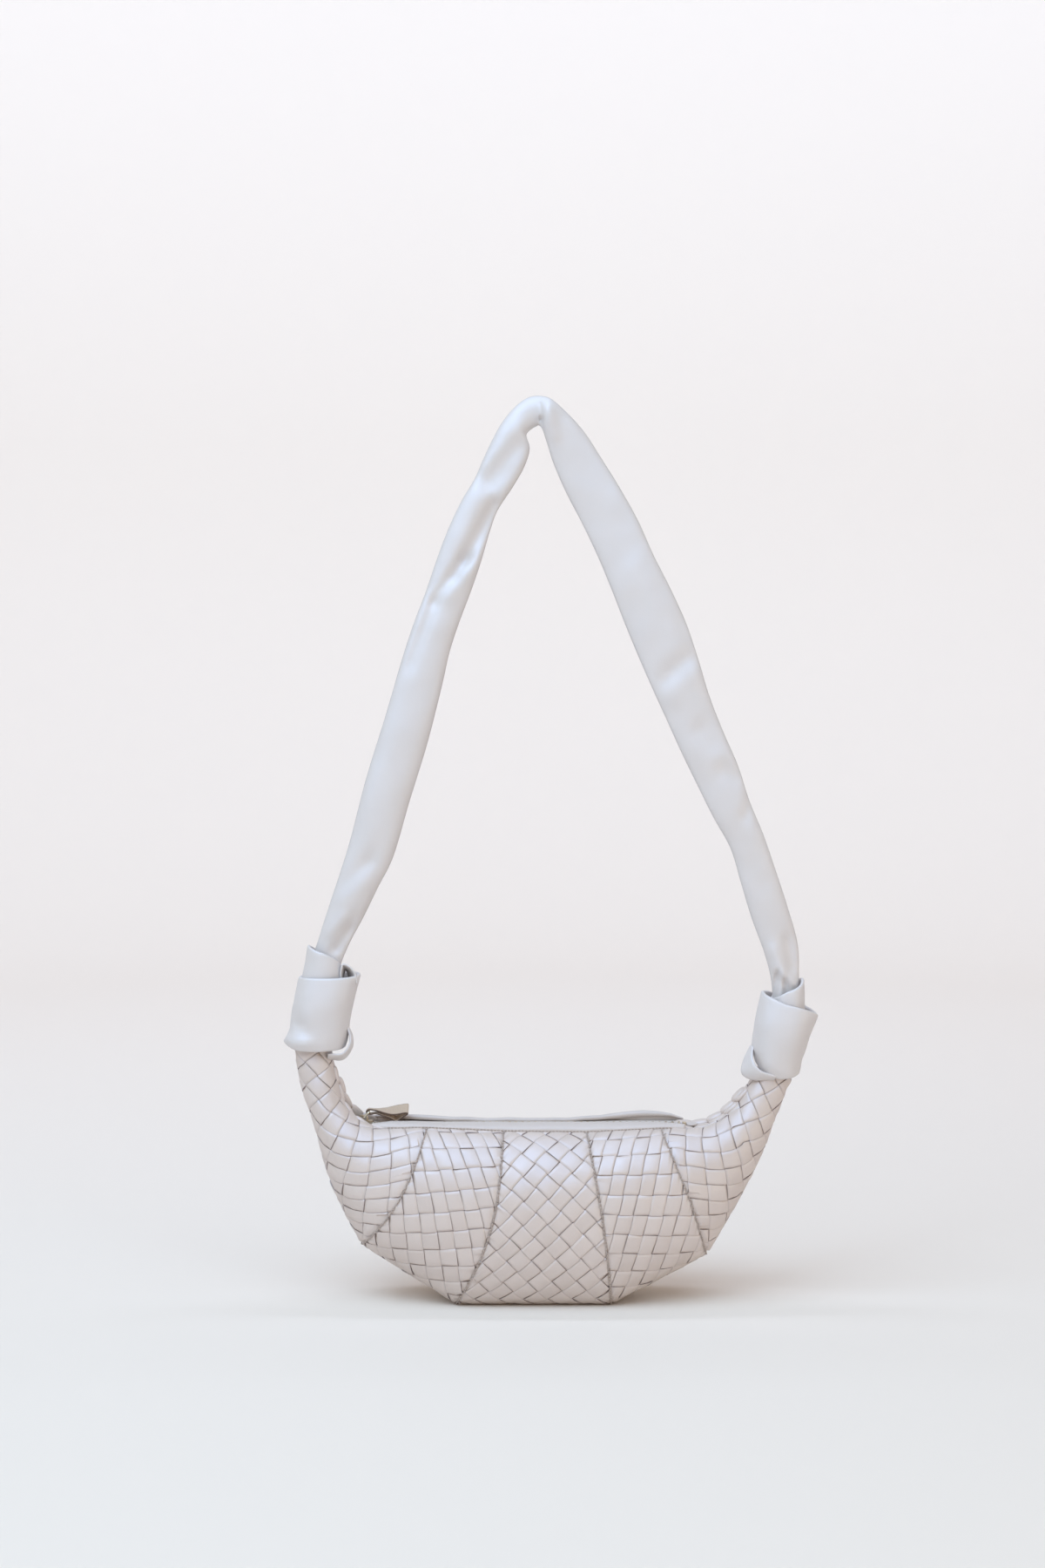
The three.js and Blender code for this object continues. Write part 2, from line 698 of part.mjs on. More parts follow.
// The strap is a soft flat tube. Its stations give the middle line in X and Z, half the width in
// that plane and half the depth along Y.
const strapStations = [
  [-121.9, 257.4, 13, 4.4],
  [-110.6, 284.2, 14.5, 4],
  [-100.5, 316.6, 15.2, 4],
  [-84.8, 370.2, 15.3, 4],
  [-69.7, 427.2, 14.2, 4.4],
  [-48.9, 485.8, 13.2, 5.5],
  [-27.1, 529.9, 12.5, 7],
  [-14, 555, 11, 8],
  [0, 571, 8.5, 8],
  [13.4, 557, 11, 7],
  [25.5, 537, 13.5, 5.5],
  [39, 513.2, 15.4, 4.4],
  [61.4, 466.3, 16.5, 4],
  [79.3, 422.2, 17.2, 4],
  [96.1, 378, 15.3, 4],
  [115.1, 336.2, 14.3, 4],
  [136.4, 289.3, 12.2, 4.2],
  [148.5, 249, 12, 4.6],
];
function makeStrap() {
  const neck = (axis, from) => {
    const along = new THREE.Vector3(from[0], 0, from[1]).sub(axis).normalize();
    const at = axis.clone().addScaledVector(along, strapEndRadius);
    return [at.x, at.z, 10, 5];
  };
  const ends = [neck(leftAxis, strapStations[0]), neck(rightAxis, strapStations.at(-1))];
  const stations = [ends[0], ...strapStations, ends[1]];
  const centres = stations.map(([x, z]) => new THREE.Vector3(x, 0, z));
  const curve = new THREE.CatmullRomCurve3(centres, false, 'centripetal');
  const sizes = new THREE.CatmullRomCurve3(
    stations.map(([, , wide, deep]) => new THREE.Vector3(wide, deep, 0)),
    false,
    'centripetal',
  );
  const steps = 2 * (stations.length - 1);
  const rings = [];
  for (let i = 0; i <= steps; i += 1) {
    const centre = curve.getPoint(i / steps);
    const along = curve.getTangent(i / steps);
    const size = sizes.getPoint(i / steps);
    rings.push(ovalRing(centre.x, centre.z, Math.atan2(along.x, along.z), size.x, size.y, strapSides));
  }
  return toSolid(loft(rings));
}

// The strap's two ends are rounded about the line on which it swings.
const swing = rightAxis.clone().sub(leftAxis).normalize();
function strapEnd(axis) {
  const length = 20;
  const end = new THREE.CylinderGeometry(strapEndRadius, strapEndRadius, length, 16);
  end.applyQuaternion(new THREE.Quaternion().setFromUnitVectors(new THREE.Vector3(0, 1, 0), swing));
  return toSolid(end.translate(axis.x, axis.y, axis.z));
}
const strapSolid = makeStrap().add(strapEnd(leftAxis)).add(strapEnd(rightAxis));
addPiece('shoulder_strap', toGeometry(strapSolid), pearlLeather());

export default bag;
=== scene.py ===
# %% [markdown]
# # A woven crescent bag
# The real object is a small shoulder bag: five gores of woven leather, sewn side by side into a
# crescent, with a zip in the mouth and one soft strap knotted to both horns. The imported model gives
# every place and size, so the first step loads it and moves each part's placement into its points.

# %% Load the imported model
import math
from contextlib import contextmanager
from functools import partial

import bmesh
import bpy
import numpy as np
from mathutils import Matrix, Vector, noise


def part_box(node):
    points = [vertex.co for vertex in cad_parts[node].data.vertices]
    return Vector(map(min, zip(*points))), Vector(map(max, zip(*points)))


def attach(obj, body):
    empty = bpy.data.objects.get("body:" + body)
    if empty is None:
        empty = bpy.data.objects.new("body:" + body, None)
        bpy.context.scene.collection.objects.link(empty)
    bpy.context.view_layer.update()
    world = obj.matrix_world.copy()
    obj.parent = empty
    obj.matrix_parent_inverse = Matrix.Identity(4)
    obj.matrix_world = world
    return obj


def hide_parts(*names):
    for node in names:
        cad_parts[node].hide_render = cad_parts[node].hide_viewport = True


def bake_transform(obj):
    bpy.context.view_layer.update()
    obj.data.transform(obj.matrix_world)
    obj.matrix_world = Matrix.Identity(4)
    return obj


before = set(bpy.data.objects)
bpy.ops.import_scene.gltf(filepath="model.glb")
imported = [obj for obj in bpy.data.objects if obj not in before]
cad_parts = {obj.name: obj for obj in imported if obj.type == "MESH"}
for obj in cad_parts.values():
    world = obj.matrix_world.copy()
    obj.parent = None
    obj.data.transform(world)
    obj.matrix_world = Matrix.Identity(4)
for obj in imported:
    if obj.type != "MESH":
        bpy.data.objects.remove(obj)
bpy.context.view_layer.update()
MM = 0.001

# %% [markdown]
# ## Camera
# A product photograph is copied first by its camera.
# The bag stands almost square to the lens, so the camera stands 1.8 m in front, a little above the
# bag's middle, and looks slightly down. The scale of the picture at the bag gives the lens.

# %% Camera
PHOTO_HEIGHT = 1800
METRES_PER_PIXEL = 0.56 * MM
CAMERA_PLACE, CAMERA_AIM = Vector((-0.011, -1.8, 0.43)), Vector((-0.011, 0.0, 0.333))
SENSOR_HEIGHT = 36.0


def add_object(name, data):
    thing = bpy.data.objects.new(name, data)
    bpy.context.collection.objects.link(thing)
    return thing


def stand(thing, place, aim):
    """Stands a camera or a light at a place and turns it to its aim."""
    thing.location = place
    thing.rotation_euler = (Vector(aim) - Vector(place)).to_track_quat("-Z", "Y").to_euler()


camera_data = bpy.data.cameras.new("photo_camera")
camera_data.sensor_fit = "VERTICAL"
camera_data.sensor_height = SENSOR_HEIGHT
camera_distance = (CAMERA_AIM - CAMERA_PLACE).length
camera_data.lens = SENSOR_HEIGHT * camera_distance / (METRES_PER_PIXEL * PHOTO_HEIGHT)
camera = add_object("photo_camera", camera_data)
stand(camera, CAMERA_PLACE, CAMERA_AIM)
bpy.context.scene.camera = camera
print("lens", round(camera_data.lens, 1), "mm")

# %% [markdown]
# ## Colour and nodes
# Colours are read from the picture as sRGB hex values, while a shader works in linear light, so one
# function turns the one into the other. A second one feeds a node's inputs with values or links,
# and a third adds any node with its settings, which keeps each material to a few readable lines.

# %% Colour and node helpers
def linear(hex_code):
    """Linear RGBA of an sRGB hex colour such as '#d9d7dd'."""
    channels = [int(hex_code[i:i + 2], 16) / 255 for i in (1, 3, 5)]
    return [c / 12.92 if c <= 0.04045 else ((c + 0.055) / 1.055) ** 2.4 for c in channels] + [1.0]


def feed(node, inputs):
    """Sets or links inputs by name or number. A node given as a value means its first output."""
    for name, value in inputs.items():
        if isinstance(value, bpy.types.Node):
            value = value.outputs[0]
        if isinstance(value, bpy.types.NodeSocket):
            node.id_data.links.new(value, node.inputs[name])
        else:
            node.inputs[name].default_value = value


def add_node(tree, kind, *inputs, **settings):
    """Adds a node, with its inputs in order or as one dictionary. A kind written in capitals is an
    operation of the Math node."""
    node = tree.nodes.new("ShaderNodeMath" if kind.isupper() else kind)
    if kind.isupper():
        node.operation = kind
    for name, value in settings.items():
        setattr(node, name, value)
    by_name = inputs and isinstance(inputs[0], dict)
    feed(node, inputs[0] if by_name else dict(enumerate(inputs)))
    return node


def new_material(name):
    """A new material, the function that adds nodes to it, its shader, and places on the piece."""
    material = bpy.data.materials.new(name)
    material.use_nodes = True
    node = partial(add_node, material.node_tree)
    place = node("ShaderNodeTexCoord").outputs["Object"]
    return material, node, material.node_tree.nodes["Principled BSDF"], place


print("middle grey is", round(linear("#808080")[0], 3), "in linear light")

# %% [markdown]
# ## Backdrop and light
# The bag stands on a plain pale floor, a round sheet that sweeps up into a low wall on all sides,
# so that every view has a backdrop. A wide soft window at the upper left, a soft panel overhead and
# a nearer one in front are a little blue, which the pearl coat shows where it faces them. Two small
# warm reflectors, at the right and low in front, keep the folds and the underside warm. One more
# light falls on the wall, and a weak warm sky fills the rest.

# %% Floor and light
FLOOR_RADIUS, SWEEP_RADIUS, WALL_HEIGHT = 2.4, 0.7, 1.7
FLOOR_SIDES, SWEEP_STEPS = 96, 12
LIGHTS = (  # name, place, aim, size, power in watts, colour
    ("window_left", (-1.1, -1.0, 1.9), (0, 0, 0.15), (1.7, 1.7), 25, "#c8e4ff"),
    ("overhead", (0.0, -0.9, 2.4), (0, 0, 0.2), (2.6, 1.6), 23, "#c8e4ff"),
    ("front_panel", (0.0, -1.25, 1.3), (0, 0, 0.35), (1.8, 0.7), 9.5, "#cce5ff"),
    ("reflector_right", (1.2, -0.8, 0.2), (0, 0, 0.05), (0.8, 0.5), 2.0, "#ffd9a8"),
    ("reflector_low", (0.15, -1.3, 0.12), (0, 0, 0.06), (1.4, 0.3), 0.8, "#ffc890"),
    ("wall_light", (0.0, 0.6, 2.3), (0, 2.4, 1.1), (3.0, 0.6), 46, "#d7e5ff"))


def ring_bands(count, size, looped=False):
    """The faces between rings of points; looped joins the last ring to the first."""
    faces = []
    for ring in range(count if looped else count - 1):
        a, b = ring * size, (ring + 1) % count * size
        faces += [(a + i, a + (i + 1) % size, b + (i + 1) % size, b + i) for i in range(size)]
    return faces


def make_floor():
    bends = [math.pi / 2 * step / SWEEP_STEPS for step in range(SWEEP_STEPS + 1)]
    line = [(FLOOR_RADIUS - SWEEP_RADIUS + SWEEP_RADIUS * math.sin(bend),
             SWEEP_RADIUS - SWEEP_RADIUS * math.cos(bend)) for bend in bends]
    line.append((FLOOR_RADIUS, WALL_HEIGHT))
    angles = [2 * math.pi * side / FLOOR_SIDES for side in range(FLOOR_SIDES)]
    corners = [(r * math.cos(a), r * math.sin(a), z) for r, z in line for a in angles]
    bands = [face[::-1] for face in ring_bands(len(line), FLOOR_SIDES)]
    paper, _, shader, _ = new_material("matt_paper_sweep")
    feed(shader, {"Base Color": linear("#e8dfd4"), "Roughness": 0.9})
    mesh = bpy.data.meshes.new("studio_floor")
    mesh.from_pydata(corners, [], [tuple(range(FLOOR_SIDES)), *bands])
    mesh.polygons.foreach_set("use_smooth", [True] * len(mesh.polygons))
    mesh.materials.append(paper)
    floor = add_object("studio_floor", mesh)


make_floor()
for name, place, aim, size, power, colour in LIGHTS:
    light_data = bpy.data.lights.new(name, "AREA")
    light_data.shape = "RECTANGLE"
    light_data.size, light_data.size_y = size
    light_data.energy, light_data.color = power, linear(colour)[:3]
    light = add_object(name, light_data)
    light.visible_camera = False
    stand(light, place, aim)
sky = bpy.data.worlds.new("pale_sky")
sky.use_nodes = True
feed(sky.node_tree.nodes["Background"], {"Color": linear("#ffddba"), "Strength": 0.25})
bpy.context.scene.world = sky
bpy.context.scene.view_settings.view_transform = "Standard"
print("lights:", [row[0] for row in LIGHTS])

# %% [markdown]
# ## Materials
# The leather is a lambskin with a thin pearl coat: warm beige below, with a high gloss that turns
# blue-white where it faces the light, warm grey folds and a fine grain. Its cut edges are unpainted
# and darker, and their colour is made dark enough to be painted shade in the gaps between the woven
# strips as well. Pearl flakes mirror more light than plain leather, so the IOR is raised well above
# 1.5. Each pattern is scaled from a real size in millimetres. The real grain is about half as wide
# as here, which would be too fine to show, so it is drawn at 0.7 to 0.8 mm.

# %% Leather
# the dark edge colour is the cut edge and also painted shade in the gaps between strips
EDGE_CUT_AND_SHADE_COLOUR, EDGE_CUT_AND_SHADE_SHARE, PEARL_TINT = "#5e432f", 0.88, "#cfdfff"
CLOUD_MM, CLOUD_SHARE, LOT_SHARE, TONE_START = 30, 0.55, 0.3, 0.2
CREASE_MM, CREASE_SHARE = 7, 1.6


def make_leather(name, colour, fold_colour, grain_mm, grain_depth_mm, roughness=0.52, pearl=2.7):
    """Pearl-coated lambskin: fine pebble grain, soft creases, faint clouds and warmer cut edges,
    whose dark colour is also painted shade in the gaps between strips.
    """
    material, node, shader, place = new_material(name)
    clouds = node("ShaderNodeTexNoise", {
        "Vector": place, "Scale": 1 / (CLOUD_MM * MM), "Detail": 3.0})
    strip = node("ShaderNodeAttribute", attribute_name="strip").outputs["Fac"]
    lot = node("ShaderNodeTexWhiteNoise", {"W": strip}, noise_dimensions="1D")
    patchy = node("MULTIPLY_ADD", clouds, CLOUD_SHARE, node("MULTIPLY", lot, LOT_SHARE))
    tone = node("ShaderNodeMix", {
        "Factor": node("SUBTRACT", patchy, TONE_START), 6: linear(colour),
        7: linear(fold_colour)}, data_type="RGBA", clamp_factor=True)
    # the edge mark mixes in dark brown: the cut edge, and painted shade in the gaps between strips
    edge = node("ShaderNodeAttribute", attribute_name="edge").outputs["Fac"]
    cut_and_gap_shade = node("ShaderNodeMix", {
        "Factor": node("MULTIPLY", edge, EDGE_CUT_AND_SHADE_SHARE), 6: tone.outputs[2],
        7: linear(EDGE_CUT_AND_SHADE_COLOUR)}, data_type="RGBA")
    grain = node("ShaderNodeTexVoronoi", {
        "Vector": place, "Scale": 1 / (grain_mm * MM)}, feature="SMOOTH_F1")
    creases = node("ShaderNodeTexNoise", {
        "Vector": place, "Scale": 1 / (CREASE_MM * MM), "Detail": 7.0})
    bump = node("ShaderNodeBump", {
        "Height": node("MULTIPLY_ADD", creases, CREASE_SHARE, grain), "Strength": 0.4,
        "Distance": grain_depth_mm * MM})
    gloss = node("ShaderNodeMapRange", {
        "Value": creases, "To Min": roughness - 0.08, "To Max": roughness + 0.10})
    feed(shader, {
        "Base Color": cut_and_gap_shade.outputs[2], "Normal": bump, "Roughness": gloss, "IOR": pearl,
        "Specular Tint": linear(PEARL_TINT), "Coat Weight": 0.08, "Coat Roughness": 0.3})
    return material


woven_leather = make_leather("pearl_lambskin_woven", "#d6c5b4", "#c1ad99", 0.8, 0.10)
smooth_leather = make_leather("pearl_lambskin_strap", "#dad2ca", "#cabfb2", 0.7, 0.08, 0.56, 2.6)
facing_leather = make_leather("pearl_lambskin_binding", "#cdc2b8", "#bdb0a4", 0.7, 0.08, 0.6, 2.0)
print("leathers:", woven_leather.name, smooth_leather.name, facing_leather.name)

# %% [markdown]
# ## The shape of the body
# Each ring of the body runs from the front lip over the belly, under the keel and up to the rear
# lip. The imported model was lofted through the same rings, so the same stations and curves are
# repeated here, finer, and everything sewn to the body can be placed by two numbers: the share of
# the gore's length and the share of the way round the ring.

# %% Stations of the crescent
WALL, GORE_PUFF, RING_STEPS = 2.4, 1.5, 40
MOUTH_MIDDLE, MOUTH_HALF, LIP_GAP, SLIT_GAP, MOUTH_ROUNDNESS = -4.0, 123.0, 13.0, 0.2, 5
# where the curves of a half ring bend, as shares of its reach and of its depth
BELLY_SHARE, LIP_BEND, BELLY_BEND, FLANK_BEND, KEEL_BEND = 0.5, (0.06, 0.58), 0.42, 0.58, 0.6
# rim X, rim Z, keel X, keel Z, half depth, keel half width, bow, in millimetres
LEFT_TIP = (-136, 167, -158.3, 165, 9.2, 3, 0)
RIGHT_TIP = (142.4, 151.5, 162.6, 142.5, 10.2, 3, 0)
SEAM_A = (-72.6, 112.6, -115, 36.6, 37, 8, 6)
SEAM_B = (-23.3, 110.4, -54, 0, 44, 18, 8)
SEAM_C = (30.4, 109.8, 46, 0, 44, 18, 2)
SEAM_D = (78, 112.0, 107.7, 30, 37, 8, 2)
LEFT_HORN = [
    LEFT_TIP, (-130.3, 141.6, -154.6, 141, 12, 3, 0),
    (-123.5, 124, -146, 115, 17, 4, 0), (-105, 113, -134.6, 75.9, 27, 6, 3)]
RIGHT_HORN = [
    (107, 113, 131, 70, 26, 6, 1), (124, 124.5, 144, 96, 18, 4, 0),
    (131, 133.5, 151, 114, 13, 3, 0), RIGHT_TIP]
GORES = {
    "end_gore_left": [*LEFT_HORN, SEAM_A],
    "side_gore_left": [SEAM_A, SEAM_B],
    "centre_gore": [SEAM_B, SEAM_C],
    "side_gore_right": [SEAM_C, SEAM_D],
    "end_gore_right": [SEAM_D, *RIGHT_HORN],
}
HORNS = ("end_gore_left", "end_gore_right")
TINY = 1e-6


def unit(vectors):
    return vectors / np.linalg.norm(vectors, axis=-1, keepdims=True)


def columns(*parts):
    """Points from their coordinates; a single number stands for all points."""
    return np.stack(np.broadcast_arrays(*parts), axis=-1)


def between(share, count):
    """The row below each share of a table with count rows, and how far past it the share lies."""
    at = np.clip(share, 0, 1) * (count - 1)
    low = np.minimum(at.astype(int), count - 2)
    return low, at - low


def through(points, share):
    """A centripetal Catmull-Rom curve through the points, equally shared between them."""
    points = np.asarray(points, float)
    index, local = between(np.atleast_1d(np.asarray(share, float)), len(points))
    local = local[:, None]
    padded = np.vstack([2 * points[0] - points[1], points, 2 * points[-1] - points[-2]])
    p0, p1, p2, p3 = (padded[index + k] for k in range(4))
    d0, d1, d2 = (np.sqrt(np.linalg.norm(b - a, axis=1, keepdims=True))
                  for a, b in ((p0, p1), (p1, p2), (p2, p3)))
    d1 = np.maximum(d1, TINY)
    d0, d2 = (np.where(d < TINY, d1, d) for d in (d0, d2))
    t1 = ((p1 - p0) / d0 - (p2 - p0) / (d0 + d1) + (p2 - p1) / d1) * d1
    t2 = ((p2 - p1) / d1 - (p3 - p1) / (d1 + d2) + (p3 - p2) / d2) * d1
    a = 2 * p1 - 2 * p2 + t1 + t2
    b = -3 * p1 + 3 * p2 - 2 * t1 - t2
    return p1 + t1 * local + b * local ** 2 + a * local ** 3


def spread(points, count):
    """The same curve at evenly counted shares."""
    return through(points, np.linspace(0, 1, count))


def lip_gap(x):
    """Half the width of the mouth at a place along it, in millimetres."""
    along = np.abs((np.asarray(x, float) - MOUTH_MIDDLE) / MOUTH_HALF)
    return SLIT_GAP + (LIP_GAP - SLIT_GAP) * np.sqrt(np.clip(1 - along ** MOUTH_ROUNDNESS, 0, 1))


def half_ring(reach, depth, keel, gap):
    """Depth below the rim and distance to the front along one half ring, lip to keel."""
    belly = reach * BELLY_SHARE
    rest = reach - belly
    upper = [(0, gap), (LIP_BEND[0] * belly, gap + LIP_BEND[1] * (depth - gap)),
             (BELLY_BEND * belly, depth), (belly, depth)]
    lower = [(belly, depth), (belly + FLANK_BEND * rest, depth),
             (reach, keel + KEEL_BEND * (depth - keel)), (reach, keel)]
    t = np.linspace(0, 1, RING_STEPS)[:, None]
    u = 1 - t
    first, second = (
        u ** 3 * a + 3 * u * u * t * b + 3 * u * t * t * c + t ** 3 * d
        for a, b, c, d in (np.array(part, float) for part in (upper, lower)))
    return np.vstack([first[:-1], second])


def ring_points(gore, share, inset=0.0):
    """Points of the whole ring, front lip to rear lip, moved inwards by inset, in millimetres."""
    rim_x, rim_z, keel_x, keel_z, depth, keel, bow = through(GORES[gore], share)[0]
    rim, bottom = np.array([rim_x, rim_z]), np.array([keel_x, max(keel_z, 0)])
    reach = np.linalg.norm(bottom - rim)
    down = (bottom - rim) / reach
    side = np.array([-down[1], down[0]])
    depth = depth + GORE_PUFF * math.sin(math.pi * share)
    half = half_ring(reach, depth, keel, float(lip_gap(rim_x)))
    tangent = unit(np.gradient(half, axis=0))
    half = half + inset * columns(tangent[:, 1], -tangent[:, 0])
    flat = np.linspace(-1, 1, RING_STEPS // 4)[1:-1]
    under = columns(half[-1, 0], -flat * half[-1, 1])
    ring = np.vstack([half, under, (half * [1, -1])[::-1]])
    bend = bow * np.sin(math.pi * np.clip(ring[:, 0] / reach, 0, 1))
    place = rim + ring[:, :1] * down + bend[:, None] * side
    return columns(place[:, 0], -ring[:, 1], place[:, 1])


print("ring of the centre gore:", ring_points("centre_gore", 0.5).round(0)[[0, 39, 79]].tolist())

# %% [markdown]
# A flat weave has to be laid on each gore without squeezing its strips. So each gore gets its own
# pair of flat measures: how far a point lies along the gore, from its middle ring, and how far it
# lies round the ring, from the keel. The horns narrow fast, so there the first is taken mostly
# along the flank and the second mostly from the rim, where the eye follows the strips. A fine table
# of both is turned round, so that any flat point finds its place on the leather.

# %% Flat measures of a gore
TABLE_SHARES, SEARCH_TURNS = 61, 7
BELLY_COLUMN, FLANK_COLUMN = 39, 30
HORN_BEND, HORN_RIM_SHARE = 0.6, 0.7


def running_sum(places, axis):
    """Distance run from the first point, along one axis of a table of places."""
    steps = np.linalg.norm(np.diff(places, axis=axis), axis=2)
    start = np.zeros_like(steps.take([0], axis=axis))
    return np.concatenate([start, np.cumsum(steps, axis=axis)], axis=axis)


def blend_rows(table, share):
    low, part = between(share, len(table))
    return table[low] * (1 - part)[:, None] + table[low + 1] * part[:, None]


def grow(tables, shares, values):
    """For each value, the share at which its own rising row of the table reaches it."""
    index = np.clip((tables < values[:, None]).sum(axis=1) - 1, 0, tables.shape[1] - 2)
    rows = np.arange(len(values))
    low, high = tables[rows, index], tables[rows, index + 1]
    part = (values - low) / np.maximum(high - low, TINY)
    return shares[index] + part * (shares[index + 1] - shares[index])


class GoreMap:
    """Turns flat millimetres (along, round) into shares of a gore, and shares into places."""

    def __init__(self, gore, inset):
        self.shares = np.linspace(0, 1, TABLE_SHARES)
        self.places = np.array([ring_points(gore, s, inset) for s in self.shares])
        self.rounds = np.linspace(0, 1, self.places.shape[1])
        along, girth = running_sum(self.places, 0), running_sum(self.places, 1)
        self.along = along - along[TABLE_SHARES // 2]
        self.girth = girth - girth[:, -1:] / 2
        if gore in HORNS:
            flank = self.along[:, FLANK_COLUMN:FLANK_COLUMN + 1]
            self.along = (1 - HORN_BEND) * self.along + HORN_BEND * flank
            belly = girth[:, BELLY_COLUMN:BELLY_COLUMN + 1]
            self.girth = girth - (1 - HORN_RIM_SHARE) * belly - girth[:, -1:].mean() / 4
        self.normals = unit(np.cross(
            np.gradient(self.places, axis=1), np.gradient(self.places, axis=0)))

    def to_shares(self, along, around):
        """Shares (of the length, of the way round) of flat points; past the edges they run on."""
        share = np.full(len(along), 0.5)
        for _ in range(SEARCH_TURNS):
            way = grow(blend_rows(self.girth, share), self.rounds, around)
            share = grow(blend_rows(self.along.T, way), self.shares, along)
        return share, way

    def place(self, share, way, height):
        """Places in metres of points given by their shares and their height over the middle."""
        i, fi = between(share, self.places.shape[0])
        j, fj = between(way, self.places.shape[1])
        fi, fj = fi[:, None], fj[:, None]
        spot, normal = (
            (1 - fi) * ((1 - fj) * table[i, j] + fj * table[i, j + 1])
            + fi * ((1 - fj) * table[i + 1, j] + fj * table[i + 1, j + 1])
            for table in (self.places, self.normals))
        return (spot + unit(normal) * height[:, None]) * MM


test_map = GoreMap("centre_gore", WALL / 2)
middle_girth, keel_line = (
    test_map.girth[TABLE_SHARES // 2], test_map.along[:, test_map.places.shape[1] // 2])
print("centre gore: girth", round(float(np.ptp(middle_girth)), 1), "mm, width at the keel",
      round(float(np.ptp(keel_line)), 1), "mm")

# %% [markdown]
# ## The weave
# The gores are plain woven: leather strips 11 mm wide pass over one and under one, at an angle of
# its own in each gore. Modelling each strip by hand would take weeks, and a bump map has no real
# edges. So Geometry Nodes lay out the strips as curves, sweep a thin rounded section along them and
# push it up and down where it crosses its neighbours. All sizes are named inputs.

# %% Helpers for Geometry Nodes trees
def new_tree(name, sizes):
    """A tree with one named input for each size, the function that adds nodes, and its inputs."""
    tree = bpy.data.node_groups.new(name, "GeometryNodeTree")
    kinds = {label: "Int" if isinstance(size, int) else "Float" for label, size in sizes.items()}
    for label, kind in {"Geometry": "Geometry", **kinds, "Material": "Material"}.items():
        socket = tree.interface.new_socket(
            label, in_out="INPUT", socket_type="NodeSocket" + kind)
        if label in sizes:
            socket.default_value = sizes[label]
    tree.interface.new_socket("Geometry", in_out="OUTPUT", socket_type="NodeSocketGeometry")
    node = partial(add_node, tree)
    return tree, node, node("NodeGroupInput").outputs


def end_tree(node, copies, given):
    """Ends a tree in real geometry, because the export drops instances, with its material."""
    real = node("GeometryNodeRealizeInstances", copies)
    node("NodeGroupOutput", node("GeometryNodeSetMaterial", {
        "Geometry": real, "Material": given["Material"]}))


def pull_out(node, shape, sizes, powers):
    """Pulls a unit circle or ball out to the given sizes; a low power makes it boxy."""
    axes = node("ShaderNodeSeparateXYZ", node("GeometryNodeInputPosition")).outputs
    pulled = {}
    for axis, size, power in zip("XYZ", sizes, powers):
        amount = node("POWER", node("ABSOLUTE", axes[axis]), power)
        signed = node("MULTIPLY", amount, node("SIGN", axes[axis]))
        pulled[axis] = node("MULTIPLY", signed, node("MULTIPLY", size, 0.5))
    return node("GeometryNodeSetPosition", {
        "Geometry": shape, "Position": node("ShaderNodeCombineXYZ", pulled)})


def run_tree(tree, name, values, seed=None):
    """Runs a tree on an object, sets its inputs by identifier, and returns a plain mesh."""
    holder = add_object(name + "_seed", seed or bpy.data.meshes.new(name + "_seed"))
    modifier = holder.modifiers.new("nodes", "NODES")
    modifier.node_group = tree
    for item in tree.interface.items_tree:
        if item.in_out == "INPUT" and item.name in values:
            modifier[item.identifier] = values[item.name]
    graph = bpy.context.evaluated_depsgraph_get()
    graph.update()
    mesh = bpy.data.meshes.new_from_object(holder.evaluated_get(graph))
    mesh.name = name
    bpy.data.objects.remove(holder)
    return mesh


print("tree helpers:", [helper.__name__ for helper in (new_tree, end_tree, pull_out, run_tree)])

# %% [markdown]
# Each strip snaps quickly from over to under, so its wave is a cosine pressed flat at its crests.
# The strips are a little domed, a little wider on top, and lean by chance to one side, and their
# edges carry a mark that the leather turns into a dark cut edge, dark enough to be painted shade in
# the gaps between the strips too. The second set is the first one turned by a right angle, with its
# wave the other way up.

# %% Geometry Nodes tree of the flat weave
STRIP_PITCH, WEAVE_CELLS, STEPS_PER_CELL = 11.0, 28, 12
WEAVE_SIZES = {
    "Rows": 27, "Length": WEAVE_CELLS * STRIP_PITCH, "Steps": WEAVE_CELLS * STEPS_PER_CELL + 1,
    "Pitch": STRIP_PITCH, "Strip width": 11.0, "Thickness": 1.25, "Rise": 0.82, "Crown": 0.14,
    "Lean": 0.3}
SECTION_SIDES, SECTION_POWERS, SNAP, EDGE_SHARPNESS = 12, (0.12, 0.3), 4.5, 50.0
SQUEEZE, CHANCE_STEP, CHANCE_DEPTH, CHANCE_SCALE = 0.025, 7.3, 3.0, 0.6
SET_NUMBER = 100.0  # tells the strips of one set from those of the other


